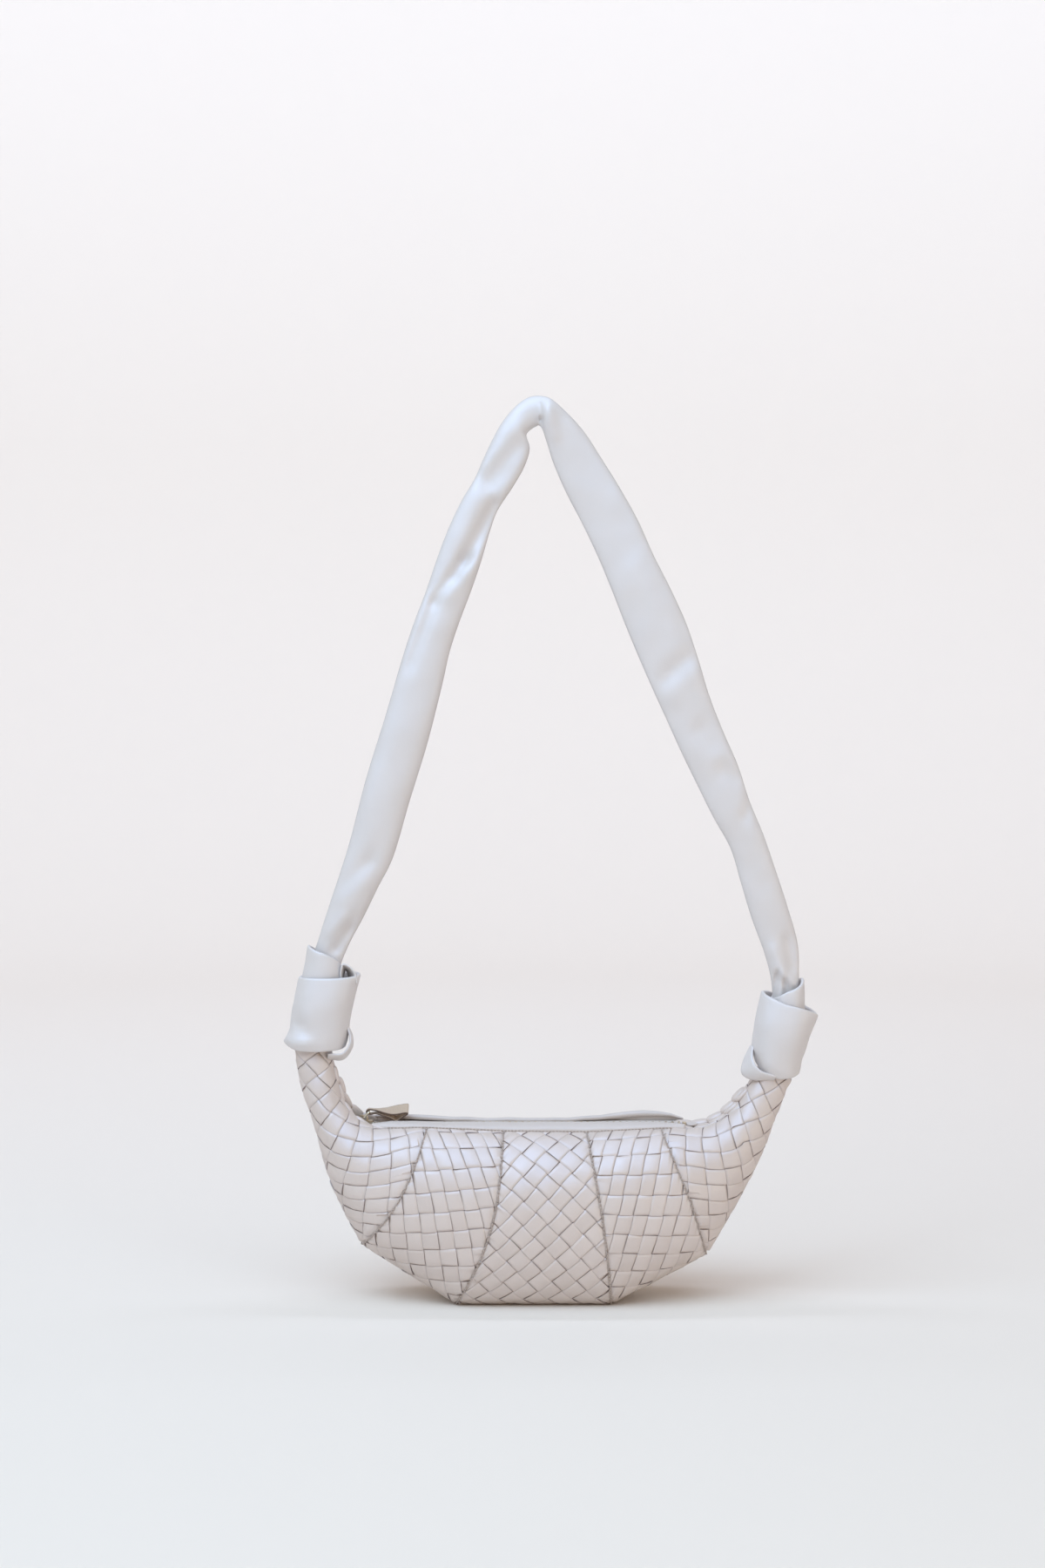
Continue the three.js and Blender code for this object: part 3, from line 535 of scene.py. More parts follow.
def weave_tree():
    tree, node, given = new_tree("plain_weave", WEAVE_SIZES)
    pitch, half = given["Pitch"], node("MULTIPLY", given["Length"], 0.5)
    line = node("GeometryNodeCurvePrimitiveLine", {
        "Start": node("ShaderNodeCombineXYZ", node("MULTIPLY", half, -1.0)),
        "End": node("ShaderNodeCombineXYZ", half)})
    fine = node("GeometryNodeResampleCurve", {"Curve": line, "Count": given["Steps"]})
    first = node("MULTIPLY", node("FLOOR", node("MULTIPLY", given["Rows"], 0.5)), pitch)
    rows = node("GeometryNodeMeshLine", {
        "Count": given["Rows"], "Offset": node("ShaderNodeCombineXYZ", {"Y": pitch}),
        "Start Location": node("ShaderNodeCombineXYZ", {"Y": node("MULTIPLY", first, -1.0)})},
        mode="OFFSET")
    lines = node("GeometryNodeRealizeInstances", node("GeometryNodeInstanceOnPoints", {
        "Points": rows, "Instance": fine}))
    ring = node("GeometryNodeCurvePrimitiveCircle", {
        "Resolution": SECTION_SIDES, "Radius": 1.0})
    section = pull_out(node, ring, (given["Strip width"], given["Thickness"]), SECTION_POWERS)
    strips = node("GeometryNodeCurveToMesh", {
        "Curve": lines, "Profile Curve": section, "Fill Caps": True})
    axes = node("ShaderNodeSeparateXYZ", node("GeometryNodeInputPosition")).outputs
    row = node("ROUND", node("DIVIDE", axes["Y"], pitch))
    sideways = node("SUBTRACT", axes["Y"], node("MULTIPLY", row, pitch))
    across = node("DIVIDE", sideways, node("MULTIPLY", given["Strip width"], 0.5))
    cells = node("DIVIDE", axes["X"], pitch)
    cosine = node("COSINE", node("MULTIPLY", cells, math.pi))
    swing = node("TANH", node("MULTIPLY", cosine, SNAP))
    parity = node("COSINE", node("MULTIPLY", row, math.pi))
    wave = node("MULTIPLY", node("MULTIPLY", swing, parity), given["Rise"])
    round_off = node("SUBTRACT", 1.0, node("MULTIPLY", across, across))
    dome = node("MULTIPLY", round_off, given["Crown"])
    # the side edges are marked for the dark edge colour: cut edge and painted shade in the gaps
    edge = node("POWER", node("MINIMUM", node("ABSOLUTE", across), 1.0), EDGE_SHARPNESS)
    marked = node("GeometryNodeStoreNamedAttribute", {
        "Geometry": strips, "Name": "edge", "Value": edge}, data_type="FLOAT", domain="POINT")
    wider = node("MULTIPLY", node("ABSOLUTE", swing), 2 * SQUEEZE)
    widen = node("MULTIPLY", sideways, node("SUBTRACT", wider, SQUEEZE))
    sets = []
    for sign, angle in ((1.0, 0.0), (-1.0, math.pi / 2)):
        spot = node(
            "ShaderNodeCombineXYZ", cells, node("MULTIPLY", row, CHANCE_STEP), CHANCE_DEPTH * sign)
        chance = node("ShaderNodeTexNoise", {"Vector": spot, "Scale": CHANCE_SCALE, "Detail": 0.0})
        lean = node("MULTIPLY", node("SUBTRACT", chance, 0.5), given["Lean"])
        height = node("MULTIPLY_ADD", lean, sideways, node("MULTIPLY_ADD", wave, sign, dome))
        numbered = node("GeometryNodeStoreNamedAttribute", {
            "Geometry": marked, "Name": "strip", "Value": node("ADD", row, SET_NUMBER * sign)},
            data_type="FLOAT", domain="POINT")
        moved = node("GeometryNodeSetPosition", {
            "Geometry": numbered, "Offset": node("ShaderNodeCombineXYZ", 0.0, widen, height)})
        sets.append(node("GeometryNodeTransform", {
            "Geometry": moved, "Rotation": (0.0, 0.0, angle)}))
    both = node("GeometryNodeJoinGeometry")
    for strip_set in reversed(sets):
        feed(both, {"Geometry": strip_set})
    end_tree(node, both, given)
    return tree


flat_weave = run_tree(weave_tree(), "flat_weave", {**WEAVE_SIZES, "Material": woven_leather})
print("flat weave:", len(flat_weave.vertices), "points")

# %% [markdown]
# The flat weave is cut to each gore and laid on it. A cut is easiest in the gore's own shares,
# where both seams and both lips are straight lines, so the strips are moved there, cut and closed,
# and only then placed on the leather's middle surface. Along each seam the weave dips, as leather
# does where it is turned in and sewn. On a horn only the front half is laid, and its mirror image
# makes the rear half, over a keel that is stitched later.

# %% Weave laid on the gores
GROOVE_WIDTH, GROOVE_DEPTH, KEEL_GROOVE_DEPTH = 1.7, 1.5, 0.7 * 1.5
SHARE_SCALE, CUT_TOLERANCE = 1000.0, 1e-5
SHARP_ANGLE = math.radians(40)
WEAVE_TURN = {
    "end_gore_left": 28, "side_gore_left": 38, "centre_gore": 45,
    "side_gore_right": 57, "end_gore_right": 68}


@contextmanager
def edited(source, target=None):
    """Opens a mesh for work and writes the work back, or into another mesh."""
    work = bmesh.new()
    work.from_mesh(source)
    yield work
    work.to_mesh(target or source)
    work.free()


def add_piece(name, mesh, material, body="bag_body", replaces=(), slot="pearl_leather"):
    """Makes a finished mesh a piece of the bag: smooth, with its material, body and nodes. The slot
    is not used.
    """
    mesh.polygons.foreach_set("use_smooth", [True] * len(mesh.polygons))
    if not mesh.materials:
        mesh.materials.append(material)
    piece = add_object(name, mesh)
    if body:
        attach(piece, body)
    if replaces:
        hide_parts(*replaces)
    return piece


def vertex_array(mesh):
    places = np.empty(len(mesh.vertices) * 3, np.float32)
    mesh.vertices.foreach_get("co", places)
    return places.reshape(-1, 3).astype(float)


def write_vertices(mesh, places):
    mesh.vertices.foreach_set("co", np.asarray(places, np.float32).ravel())
    mesh.update()


def cut_square(mesh, width, height):
    """Cuts a mesh to a box from zero in X and Y, and closes the cuts."""
    with edited(mesh) as work:
        for axis, limit, sign in ((0, 0, -1), (0, width, 1), (1, 0, -1), (1, height, 1)):
            point, normal = [0.0, 0.0, 0.0], [0.0, 0.0, 0.0]
            point[axis], normal[axis] = limit, sign
            cut = bmesh.ops.bisect_plane(
                work, geom=[*work.verts, *work.edges, *work.faces], dist=CUT_TOLERANCE,
                plane_co=point, plane_no=normal, clear_outer=True)
            edges = [item for item in cut["geom_cut"] if isinstance(item, bmesh.types.BMEdge)]
            bmesh.ops.holes_fill(work, edges=edges, sides=0)


def mirror_half(mesh):
    """Adds the rear half of a horn as the mirror image of its front half, over the keel."""
    with edited(mesh) as work:
        copy = bmesh.ops.duplicate(work, geom=[*work.verts, *work.edges, *work.faces])["geom"]
        for item in copy:
            if isinstance(item, bmesh.types.BMVert):
                item.co.y = SHARE_SCALE - item.co.y
        faces = [item for item in copy if isinstance(item, bmesh.types.BMFace)]
        bmesh.ops.reverse_faces(work, faces=faces)


def dip(distance, depth):
    return depth * np.clip(1 - distance / GROOVE_WIDTH, 0, 1) ** 2


def lay_weave(gore):
    lay = GoreMap(gore, WALL / 2)
    flat = vertex_array(flat_weave)
    turn = math.radians(WEAVE_TURN[gore])
    along = flat[:, 0] * math.cos(turn) - flat[:, 1] * math.sin(turn)
    around = -(flat[:, 0] * math.sin(turn) + flat[:, 1] * math.cos(turn))
    keep = np.abs(along) < np.abs(lay.along).max() + STRIP_PITCH
    keep &= np.abs(around) < np.abs(lay.girth).max() + STRIP_PITCH
    mesh = bpy.data.meshes.new(gore + "_weave")
    with edited(flat_weave, mesh) as work:
        outside = [point for point, kept in zip(work.verts, keep) if not kept]
        bmesh.ops.delete(work, geom=outside, context="VERTS")
    share, way = lay.to_shares(along[keep], around[keep])
    write_vertices(mesh, columns(share * SHARE_SCALE, way * SHARE_SCALE, flat[keep, 2]))
    cut_square(mesh, SHARE_SCALE, SHARE_SCALE * (0.5 if gore in HORNS else 1))
    if gore in HORNS:
        mirror_half(mesh)
    share, way, height = (vertex_array(mesh) / (SHARE_SCALE, SHARE_SCALE, 1)).T
    row = blend_rows(lay.along.T, way)
    nearest = np.clip((share * (TABLE_SHARES - 1)).round().astype(int), 0, TABLE_SHARES - 1)
    here = row[np.arange(len(share)), nearest]
    for end, tip in ((0, HORNS[0]), (-1, HORNS[1])):
        if gore != tip:
            height = height - dip(np.abs(here - row[:, end]), GROOVE_DEPTH)
    if gore in HORNS:
        to_keel = np.abs(way - 0.5) * np.ptp(lay.girth[TABLE_SHARES // 2])
        height = height - dip(to_keel, KEEL_GROOVE_DEPTH)
    write_vertices(mesh, lay.place(share, way, height))
    piece = add_piece(gore + "_weave", mesh, woven_leather, replaces=[gore])
    mesh.set_sharp_from_angle(angle=SHARP_ANGLE)
    return piece


weaves = [lay_weave(gore) for gore in GORES]
bpy.data.meshes.remove(flat_weave)
print("weave:", [(piece.name, len(piece.data.polygons)) for piece in weaves])

# %% [markdown]
# ## Soft leather parts
# Strap, knots and bindings are all made from rings of points joined into one closed skin. Soft
# leather is never quite even, so two small sculpting tools go with it: slow noise for the hand of
# the leather, and strokes that press a fold into its front, each a line with a width and a depth.

# %% Skins, noise and strokes
def skin(name, rings, material, ends="fan", **settings):
    """One closed mesh from rings of points in millimetres. Its ends are closed by a fan each or, on
    a folded wall, by a ladder, or they are looped together."""
    rings = np.asarray(rings, float)
    count, size = rings.shape[:2]
    last = (count - 1) * size
    points = rings.reshape(-1, 3)
    faces = ring_bands(count, size, ends == "looped")
    if ends == "fan":
        points = np.vstack([points, rings[0].mean(axis=0), rings[-1].mean(axis=0)])
        low, high = count * size, count * size + 1
        faces += [(low, (i + 1) % size, i) for i in range(size)]
        faces += [(high, last + i, last + (i + 1) % size) for i in range(size)]
    if ends == "ladder":
        for a in (0, last):
            faces += [(a + i, a + i + 1, a + size - 2 - i, a + size - 1 - i)
                      for i in range(size // 2 - 1)]
    mesh = bpy.data.meshes.new(name)
    mesh.from_pydata(points * MM, [], faces)
    with edited(mesh) as work:
        bmesh.ops.remove_doubles(work, verts=work.verts, dist=TINY)
        bmesh.ops.recalc_face_normals(work, faces=work.faces)
    return add_piece(name, mesh, material, **settings)


def uneven(points, layers):
    """Slow noise at each point, in layers of size, amount and place in the noise."""
    values = sum(
        amount * np.array([
            noise.noise(Vector(point) / size + Vector((start, 0, 0)))
            for point in points.reshape(-1, 3)])
        for size, amount, start in layers)
    return values.reshape(points.shape[:-1])


def press(points, strokes, weight):
    """Presses strokes into the front: each is start, end, radius and depth in millimetres."""
    flat = points[..., [0, 2]]
    for start, end, radius, depth in strokes:
        start, end = np.array(start, float), np.array(end, float)
        way = end - start
        length = max(float(way @ way), TINY)
        at = np.clip(((flat - start) @ way) / length, 0, 1)
        distance = np.linalg.norm(flat - start - at[..., None] * way, axis=-1)
        points[..., 1] += weight * depth * np.exp(-(distance / radius) ** 2)


def turns(count):
    """Evenly counted angles of one full turn."""
    return np.linspace(0, 2 * math.pi, count, endpoint=False)


def rounded(angles, wide_power, deep_power):
    """Cosine and sine of the angles as a section; a power under one makes it boxier."""
    return [np.sign(v) * np.abs(v) ** power
            for v, power in ((np.cos(angles), wide_power), (np.sin(angles), deep_power))]


def mark_edges(piece, amounts):
    """Writes the mark that the leathers turn into a darker edge line."""
    mark = piece.data.attributes.new("edge", "FLOAT", "POINT")
    mark.data.foreach_set("value", amounts)


print("a boxy section's corner:", [round(float(v), 2) for v in rounded(math.pi / 4, 0.5, 0.5)])

# %% [markdown]
# ## Strap
# The strap is a long tube of soft leather, 16 mm wide at the knots and 23 to 37 mm wide along its
# runs. It hangs by its top, so it turns over sharply there, where the right run lies over the left
# one, and the left run is rolled rounder. Its two edges are measured from the picture at stations
# along the way, and a soft oval section is stretched between them.

# %% Strap
# outer edge X and Z, inner edge X and Z, half depth, shift to the back
STRAP_STATIONS = [
    (-147, 206, -131.5, 205, 5, 0), (-146, 221, -127.5, 218.5, 5.5, 0),
    (-141.9, 235.1, -122.3, 230.6, 6.4, 0), (-135.4, 255.2, -112.9, 248.2, 7.2, 0),
    (-128.7, 275.2, -104.2, 266.1, 8, 0), (-122.4, 295.3, -95.1, 283.8, 8.6, 0),
    (-111.7, 336.1, -83.6, 321.9, 9, 0), (-99.2, 376.3, -71.9, 359.9, 9, 0),
    (-87.2, 416.8, -62.1, 398.5, 8, 0), (-80.5, 436.8, -57.7, 417.9, 7.2, 0),
    (-72.9, 456.5, -51.5, 436.8, 6.4, 0), (-66.1, 476.4, -44.4, 455.5, 6.6, 0),
    (-58.6, 496.1, -37.9, 474.3, 6.8, 0), (-49.5, 515.1, -31.5, 496, 6.6, 0),
    (-41.5, 528.5, -27, 508, 6.8, 0), (-36, 541, -17.5, 522.5, 7, 0),
    (-30.5, 552.5, -9.8, 536, 7.4, 0), (-24.5, 563.5, -6.4, 547.5, 7.6, 0.5),
    (-17, 573, -8.4, 556.4, 7.2, 1.5), (-10, 578.8, -4.8, 560.4, 7, 2.5),
    (-4.5, 581, -1.8, 562, 6.8, 2.5), (2.5, 580.8, -0.4, 562.2, 6.4, 0),
    (7.4, 578.8, 1.4, 560, 6, -2.5), (17.6, 569.9, 4.6, 551, 5.4, -2),
    (28, 558.6, 8.6, 538.5, 5, -1), (38.3, 543.1, 16.6, 520.1, 4.8, 0),
    (51.2, 522.6, 27.2, 499.8, 4.6, 0), (63, 501.5, 37.1, 479.1, 4.6, 0),
    (73, 479.5, 46, 457.9, 4.6, 0), (84, 457.9, 54.4, 436.5, 4.8, 0),
    (94, 435.9, 63.2, 415.3, 4.8, 0), (101.8, 413, 72.4, 394.3, 5, 0),
    (108.9, 389.8, 82, 373.4, 5, 0), (117.7, 367.3, 91.5, 352.5, 5, 0),
    (127.4, 345.1, 101.6, 331.9, 5, 0), (135, 322.2, 111.9, 311.4, 5, 0),
    (144.3, 299.8, 123, 291.3, 5, 0), (152.2, 277, 129.7, 269.4, 5, 0),
    (159.8, 254, 136.4, 247.4, 5, 0), (166.6, 229, 144.6, 225, 5.4, 0),
    (167.4, 209, 149.2, 208, 5.6, 0), (167.6, 188, 151, 188, 5.4, 0),
]
# start, end, radius and depth of each fold, negative where the leather stands out
STRAP_FOLDS = [
    ((-15, 549), (-31, 527), 9, 3.4), ((-10, 536), (-22, 516), 6, -0.6),
    ((-12, 561), (-34, 538), 6, -1.2), ((-29, 511), (-47, 478), 5, 4),
    ((-46, 478), (-54, 466), 5, 2), ((-36, 480), (-58, 455), 6, -1.4),
    ((-50, 475), (-68, 450), 3.5, 2), ((-68, 448), (-84, 408), 4, 1.6),
    ((-77, 450), (-95, 395), 5, -1.2), ((-62, 400), (-66, 382), 4, -0.8),
    ((-101, 300), (-109, 284), 5.5, 0.9), ((-109, 284), (-134, 263), 5, 1.3),
    ((-112, 268), (-124, 258), 6, -0.7), ((-127, 248), (-135, 238), 4, -1.3),
    ((-119, 247), (-124, 238), 4, 1.2), ((-121, 240), (-131, 227), 3.5, 2.2),
    ((0.4, 576), (0.8, 566), 1.2, 0.9), ((0.7, 566), (0.8, 560), 1.6, 3.4),
    ((5, 572), (9, 556), 4, -1.2), ((60, 470), (86, 420), 10, -0.8),
    ((92, 436), (100, 415), 5, 1.2), ((93, 414), (80, 400), 6, 1.7),
    ((84, 390), (99, 402), 7, -0.8), ((104, 366), (110, 360), 7, 1.3),
    ((119, 343), (126, 338), 7, 2), ((136, 322), (132, 312), 4, 1.2),
    ((160, 232), (164, 216), 4.5, 2.6), ((150, 226), (155, 214), 4, -1.5),
    ((153.5, 213), (150, 192), 1.8, 3), ((153, 214), (166, 203), 2.2, -1.6),
    ((158, 206), (161, 190), 2.2, 2.2),
]
STRAP_RINGS, STRAP_ROUND, STRAP_POWER, PRESS_POWER = 340, 56, 0.92, 0.6
STRAP_NOISE = ((30.0, 1.0, 0.0), (11.0, 0.35, 5.0))
RIM_MARK, RIM_SHARPNESS = 0.45, 60


def make_strap():
    rows = spread(STRAP_STATIONS, STRAP_RINGS)
    outer, inner, depth, shift = rows[:, :2], rows[:, 2:4], rows[:, 4:5], rows[:, 5:6]
    angles = turns(STRAP_ROUND)
    wide, deep = rounded(angles, STRAP_POWER, STRAP_POWER)
    middle, half = (outer + inner) / 2, (outer - inner) / 2
    flat = middle[:, None] + half[:, None] * wide[None, :, None]
    points = columns(flat[..., 0], shift - depth * deep, flat[..., 1])
    press(points, STRAP_FOLDS, np.clip(np.sin(angles), 0, 1) ** PRESS_POWER)
    points[..., 1] -= uneven(points, STRAP_NOISE) * rounded(angles, 1, 0.5)[1]
    piece = skin("leather_strap", points, smooth_leather, body=None, replaces=["shoulder_strap"])
    # a thin darker line along both sides of the strap, where it turns to the back
    rims = np.tile(RIM_MARK * np.abs(wide) ** RIM_SHARPNESS, STRAP_RINGS)
    mark_edges(piece, np.append(rims, np.zeros(2)))
    return piece


strap = make_strap()
print("strap:", len(strap.data.polygons), "faces, spans", [round(v / MM) for v in strap.dimensions])

# %% [markdown]
# ## Knots
# At each horn the strap is wound round itself: a wide band hides the horn's end, a narrower turn
# stands out of it, and loose turns show at the sides. A band is a sleeve whose top and bottom
# edges rise and fall round it. Its wall is two layers of leather, and its rims are rounded, as a
# folded edge is. A loose turn is a ribbon between two edges.

# %% Bands and ribbons
BAND_STEPS, BAND_SIDES, BAND_POWER, BAND_PRESS_POWER, EDGE_SMOOTHINGS = 18, 96, 0.86, 0.5, 6
BAND_NOISE = ((16.0, 0.03, 3.0), (6.0, 0.008, 7.0))
RIBBON_STEPS, RIBBON_ACROSS, RIBBON_WALL, RIBBON_RIM_SHARE = 36, 10, 2.2, 0.35


def band(name, wall, levels, low, high, folds, node):
    """levels: Z, left X, right X, half depth. low and high: edge heights at turns of 45 degrees
    from the right side over the front."""
    levels = np.array(levels, float)
    angles = turns(BAND_SIDES)
    edges = []
    for heights in (low, high):
        edge = np.interp(angles, np.linspace(0, 2 * math.pi, 9), [*heights, heights[0]])
        for _ in range(EDGE_SMOOTHINGS):
            edge = (np.roll(edge, 1) + 2 * edge + np.roll(edge, -1)) / 4
        edges.append(edge[:, None])
    bottom, top = edges
    share = np.linspace(0, 1, BAND_STEPS)
    nose = np.linspace(0, math.pi, 6)[1:-1]
    profile = [(v, 0.0, 0.0) for v in share]
    profile += [(1.0, 0.5 - 0.5 * math.cos(a), math.sin(a)) for a in nose]
    profile += [(v, 1.0, 0.0) for v in share[::-1]]
    profile += [(0.0, 0.5 + 0.5 * math.cos(a), -math.sin(a)) for a in nose]
    up, inwards, out = np.array(profile).T
    z = bottom + (top - bottom) * up
    left, right, depth = (np.interp(z, levels[:, 0], levels[:, k]) for k in (1, 2, 3))
    middle, half, inset = (left + right) / 2, (right - left) / 2, wall * inwards
    cos, sin = (v[:, None] for v in rounded(angles, BAND_POWER, BAND_POWER))
    points = columns(
        middle + (half - inset) * cos, -(depth - inset) * sin, z + out * wall / 2)
    press(points, folds, np.clip(sin, 0, 1) ** BAND_PRESS_POWER)
    bulge = 1 + uneven(points, BAND_NOISE)
    points[..., 0] = middle + (points[..., 0] - middle) * bulge
    points[..., 1] *= bulge
    return skin(name, points, smooth_leather, ends="looped", replaces=[node])


def ribbon(name, edge_a, edge_b, node):
    """A turn of strap between two edges, given as points in millimetres, with rounded rims."""
    a, b = spread(edge_a, RIBBON_STEPS), spread(edge_b, RIBBON_STEPS)
    side = b - a
    out = unit(np.cross(np.gradient((a + b) / 2, axis=0), side))
    share = np.linspace(0, 1, RIBBON_ACROSS)[:, None]
    middle = a[:, None] + side[:, None] * share
    thick = RIBBON_RIM_SHARE + (1 - RIBBON_RIM_SHARE) * np.sin(math.pi * share) ** 0.5
    lift = out[:, None] * (RIBBON_WALL / 2 * thick)
    rings = np.concatenate([middle + lift, (middle - lift)[:, ::-1]], axis=1)
    return skin(name, rings, smooth_leather, replaces=[node])


# %% [markdown]
# The turns of both knots are measured from the picture, and what lies hidden follows the packed
# model. The strap's own end goes on inside each knot down to the horn's tip.

# %% Knots
CORE_STEPS = 24
knots = [
    band("wound_band_left", 2.6, [
        (160, -160, -126.5, 14), (163, -162, -125.6, 16), (167.5, -165.5, -124.3, 17.5),
        (174.5, -161.5, -123, 18), (182, -160.3, -121.8, 18.5), (189, -159.6, -120.6, 18.5),
        (199, -157.4, -118.4, 17.5), (210, -155, -115.4, 16)],
        (164.5, 163.5, 162.8, 163.6, 168.5, 166, 164, 164),
        (209.3, 208.4, 207.8, 207.8, 207.5, 208, 209, 209.5), [
        ((-162, 193), (-156, 179), 4.5, 2.6), ((-156, 179), (-149, 174), 5, 1.2),
        ((-150, 167), (-162, 168), 4, -1.3), ((-146, 178), (-132, 172), 8, 0.7)],
        "knot_wrap_left"),
    band("wound_collar_left", 2.2, [
        (200, -153.5, -126.8, 12), (210, -153, -126.8, 12), (218.5, -151.2, -127.2, 11.5),
        (229, -149.5, -128.5, 10.5)], (202,) * 8,
        (213.5, 219.5, 224, 226.8, 228.2, 226, 220, 215), [((-141, 222), (-139, 208), 5, -0.6)],
        "knot_collar_left"),
    band("wound_band_right", 2.6, [
        (143, 143.5, 167, 14), (148, 141, 168.4, 15.5), (154.7, 138.8, 169.4, 17),
        (162.9, 137.1, 172.8, 17.8), (170, 137.8, 175, 18.2), (178.5, 139, 178, 18),
        (183, 139.9, 179.6, 17.5), (198, 143, 182, 15)],
        (148, 146.2, 145, 147.6, 155.5, 151, 149, 148.5),
        (182.8, 186.3, 190.2, 195.4, 198, 197, 192, 186), [
        ((176, 176), (170, 156), 5, 1.5), ((150, 166), (164, 160), 9, 0.6),
        ((146, 152), (160, 147), 4, -0.8)], "knot_wrap_right"),
    band("wound_collar_right", 2.2, [
        (180, 148.5, 171.2, 12), (192, 149, 171.1, 12), (199, 150.5, 171, 11.5),
        (208, 154, 170.6, 10.5)], (181,) * 8,
        (206.8, 203, 199.6, 195.2, 193.5, 197, 202, 205.5), [((166, 198), (166, 188), 4, -0.6)],
        "knot_collar_right"),
    ribbon("loose_turn_left", [
        (-127.5, -9, 205), (-127.7, -9, 213), (-126.3, -9, 217.6), (-122.3, -9, 216.2),
        (-118.6, -9, 212), (-117.2, -9, 205)], [
        (-128, 7, 204), (-127, 7, 208), (-126, 7, 211.5), (-125, 7, 211.5), (-124, 7, 208),
        (-123, 7, 204)], "knot_loop_left"),
    ribbon("strap_end_left", [
        (-124.5, -6, 178), (-121.8, -9, 171), (-122.2, -11, 166), (-126.5, -12, 160.6),
        (-136, -11, 160)], [
        (-125.5, 6, 178), (-121.2, 3, 169), (-121.4, 0, 162), (-127, -3, 155.2),
        (-137, -5, 156)], "knot_tail_left"),
    ribbon("strap_end_right", [
        (137.5, -5, 164), (137.2, -12, 156), (141.5, -14.5, 150), (151.5, -14.5, 146.2)], [
        (137, 5, 163), (131.6, -1, 154), (130.4, -6, 146.5), (136, -9, 143.2), (151, -10, 143)],
        "knot_tail_right")]
for side, foot, tip, neck in (
        ("left", (-144.6, 149), (-146, 160), (-137.5, 214)),
        ("right", (145.8, 133), (149.3, 141.5), (158, 194))):
    # X, Z, half width and half depth of the strap inside the knot, from the horn to the neck
    rows = spread([
        (*foot, 5, 4.4), (*tip, 7.2, 5.8), (*neck, 6, 4.2),
        (neck[0] + 1, neck[1] + 8, 4.5, 3)], CORE_STEPS)
    x, z, half, depth = (rows[:, k:k + 1] for k in range(4))
    angles = turns(CORE_STEPS)
    core = columns(x + half * np.cos(angles), -depth * np.sin(angles), z)
    knots.append(skin(
        "strap_core_" + side, core, smooth_leather, replaces=["strap_stem_" + side]))
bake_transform(strap)
print("knots:", [piece.name for piece in knots])

# %% [markdown]
# ## Cloth, metal and stitches
# Three more finishes are needed at the mouth: the plain cotton weave of the lining and the zip
# tapes, the pale metal of the zip, and the flesh side of the leather on the pull. Each starts from
# what the real one is and draws its pattern in real millimetres. Threads and hairlines are drawn
# coarser than real ones, which would be too fine to show.

# %% Cloth, metal and raw leather
THREAD_TO_SCALE = 0.314  # a wave texture's bands per unit, for one band to a thread
HAIRLINE_SCALE = (400.0, 4000.0, 1500.0)


def make_cloth(name, colour, thread_mm):
    """Plain-woven cotton: fine crossing ribs, which scatter light softly without a highlight."""
    material, node, shader, place = new_material(name)
    weave = node("MULTIPLY", *(node("ShaderNodeTexWave", {
        "Vector": place, "Scale": THREAD_TO_SCALE / (thread_mm * MM), "Distortion": 0.6,
        "Detail": 1.0}, bands_direction=axis).outputs["Fac"] for axis in ("X", "Z")))
    shade = node("ShaderNodeMix", {
        "Factor": weave, 6: linear(colour), 7: linear("#d9d0c8")}, data_type="RGBA")
    bump = node("ShaderNodeBump", {"Height": weave, "Strength": 0.5, "Distance": 0.1 * MM})
    feed(shader, {"Base Color": shade.outputs[2], "Normal": bump, "Roughness": 0.88,
                  "Sheen Weight": 0.15})
    return material


def make_metal(name, colour, worn_colour):
    """Brushed and tumbled nickel-gilt brass: bright, with fine hairlines and duller patches."""
    material, node, shader, place = new_material(name)
    stretched = node("ShaderNodeMapping", {"Vector": place, "Scale": HAIRLINE_SCALE})
    hairs = node("ShaderNodeTexNoise", {"Vector": stretched, "Scale": 1.0, "Detail": 3.0})
    patches = node("ShaderNodeTexNoise", {"Vector": place, "Scale": 1 / (2 * MM), "Detail": 4.0})
    worn = node("ShaderNodeMix", {
        "Factor": patches, 6: linear(colour), 7: linear(worn_colour)}, data_type="RGBA")
    gloss = node("ShaderNodeMapRange", {"Value": hairs, "To Min": 0.22, "To Max": 0.46})
    bump = node("ShaderNodeBump", {"Height": hairs, "Strength": 0.3, "Distance": 0.03 * MM})
    feed(shader, {"Base Color": worn.outputs[2], "Roughness": gloss, "Normal": bump,
                  "Metallic": 1.0})
    return material


def make_raw_leather(name, colour, dark_colour):
    """The flesh side of tanned leather: matt, with a short nap, and dark where it was cut."""
    material, node, shader, place = new_material(name)
    nap = node("ShaderNodeTexNoise", {"Vector": place, "Scale": 1 / (0.6 * MM), "Detail": 6.0})
    tone = node("ShaderNodeMix", {
        "Factor": nap, 6: linear(colour), 7: linear(dark_colour)}, data_type="RGBA")
    edge = node("ShaderNodeAttribute", attribute_name="edge").outputs["Fac"]
    cut = node("ShaderNodeMix", {
        "Factor": edge, 6: tone.outputs[2], 7: linear("#59463a")}, data_type="RGBA")
    bump = node("ShaderNodeBump", {"Height": nap, "Strength": 0.5, "Distance": 0.15 * MM})
    feed(shader, {"Base Color": cut.outputs[2], "Normal": bump, "Roughness": 0.82,
                  "Sheen Weight": 0.2})
    return material


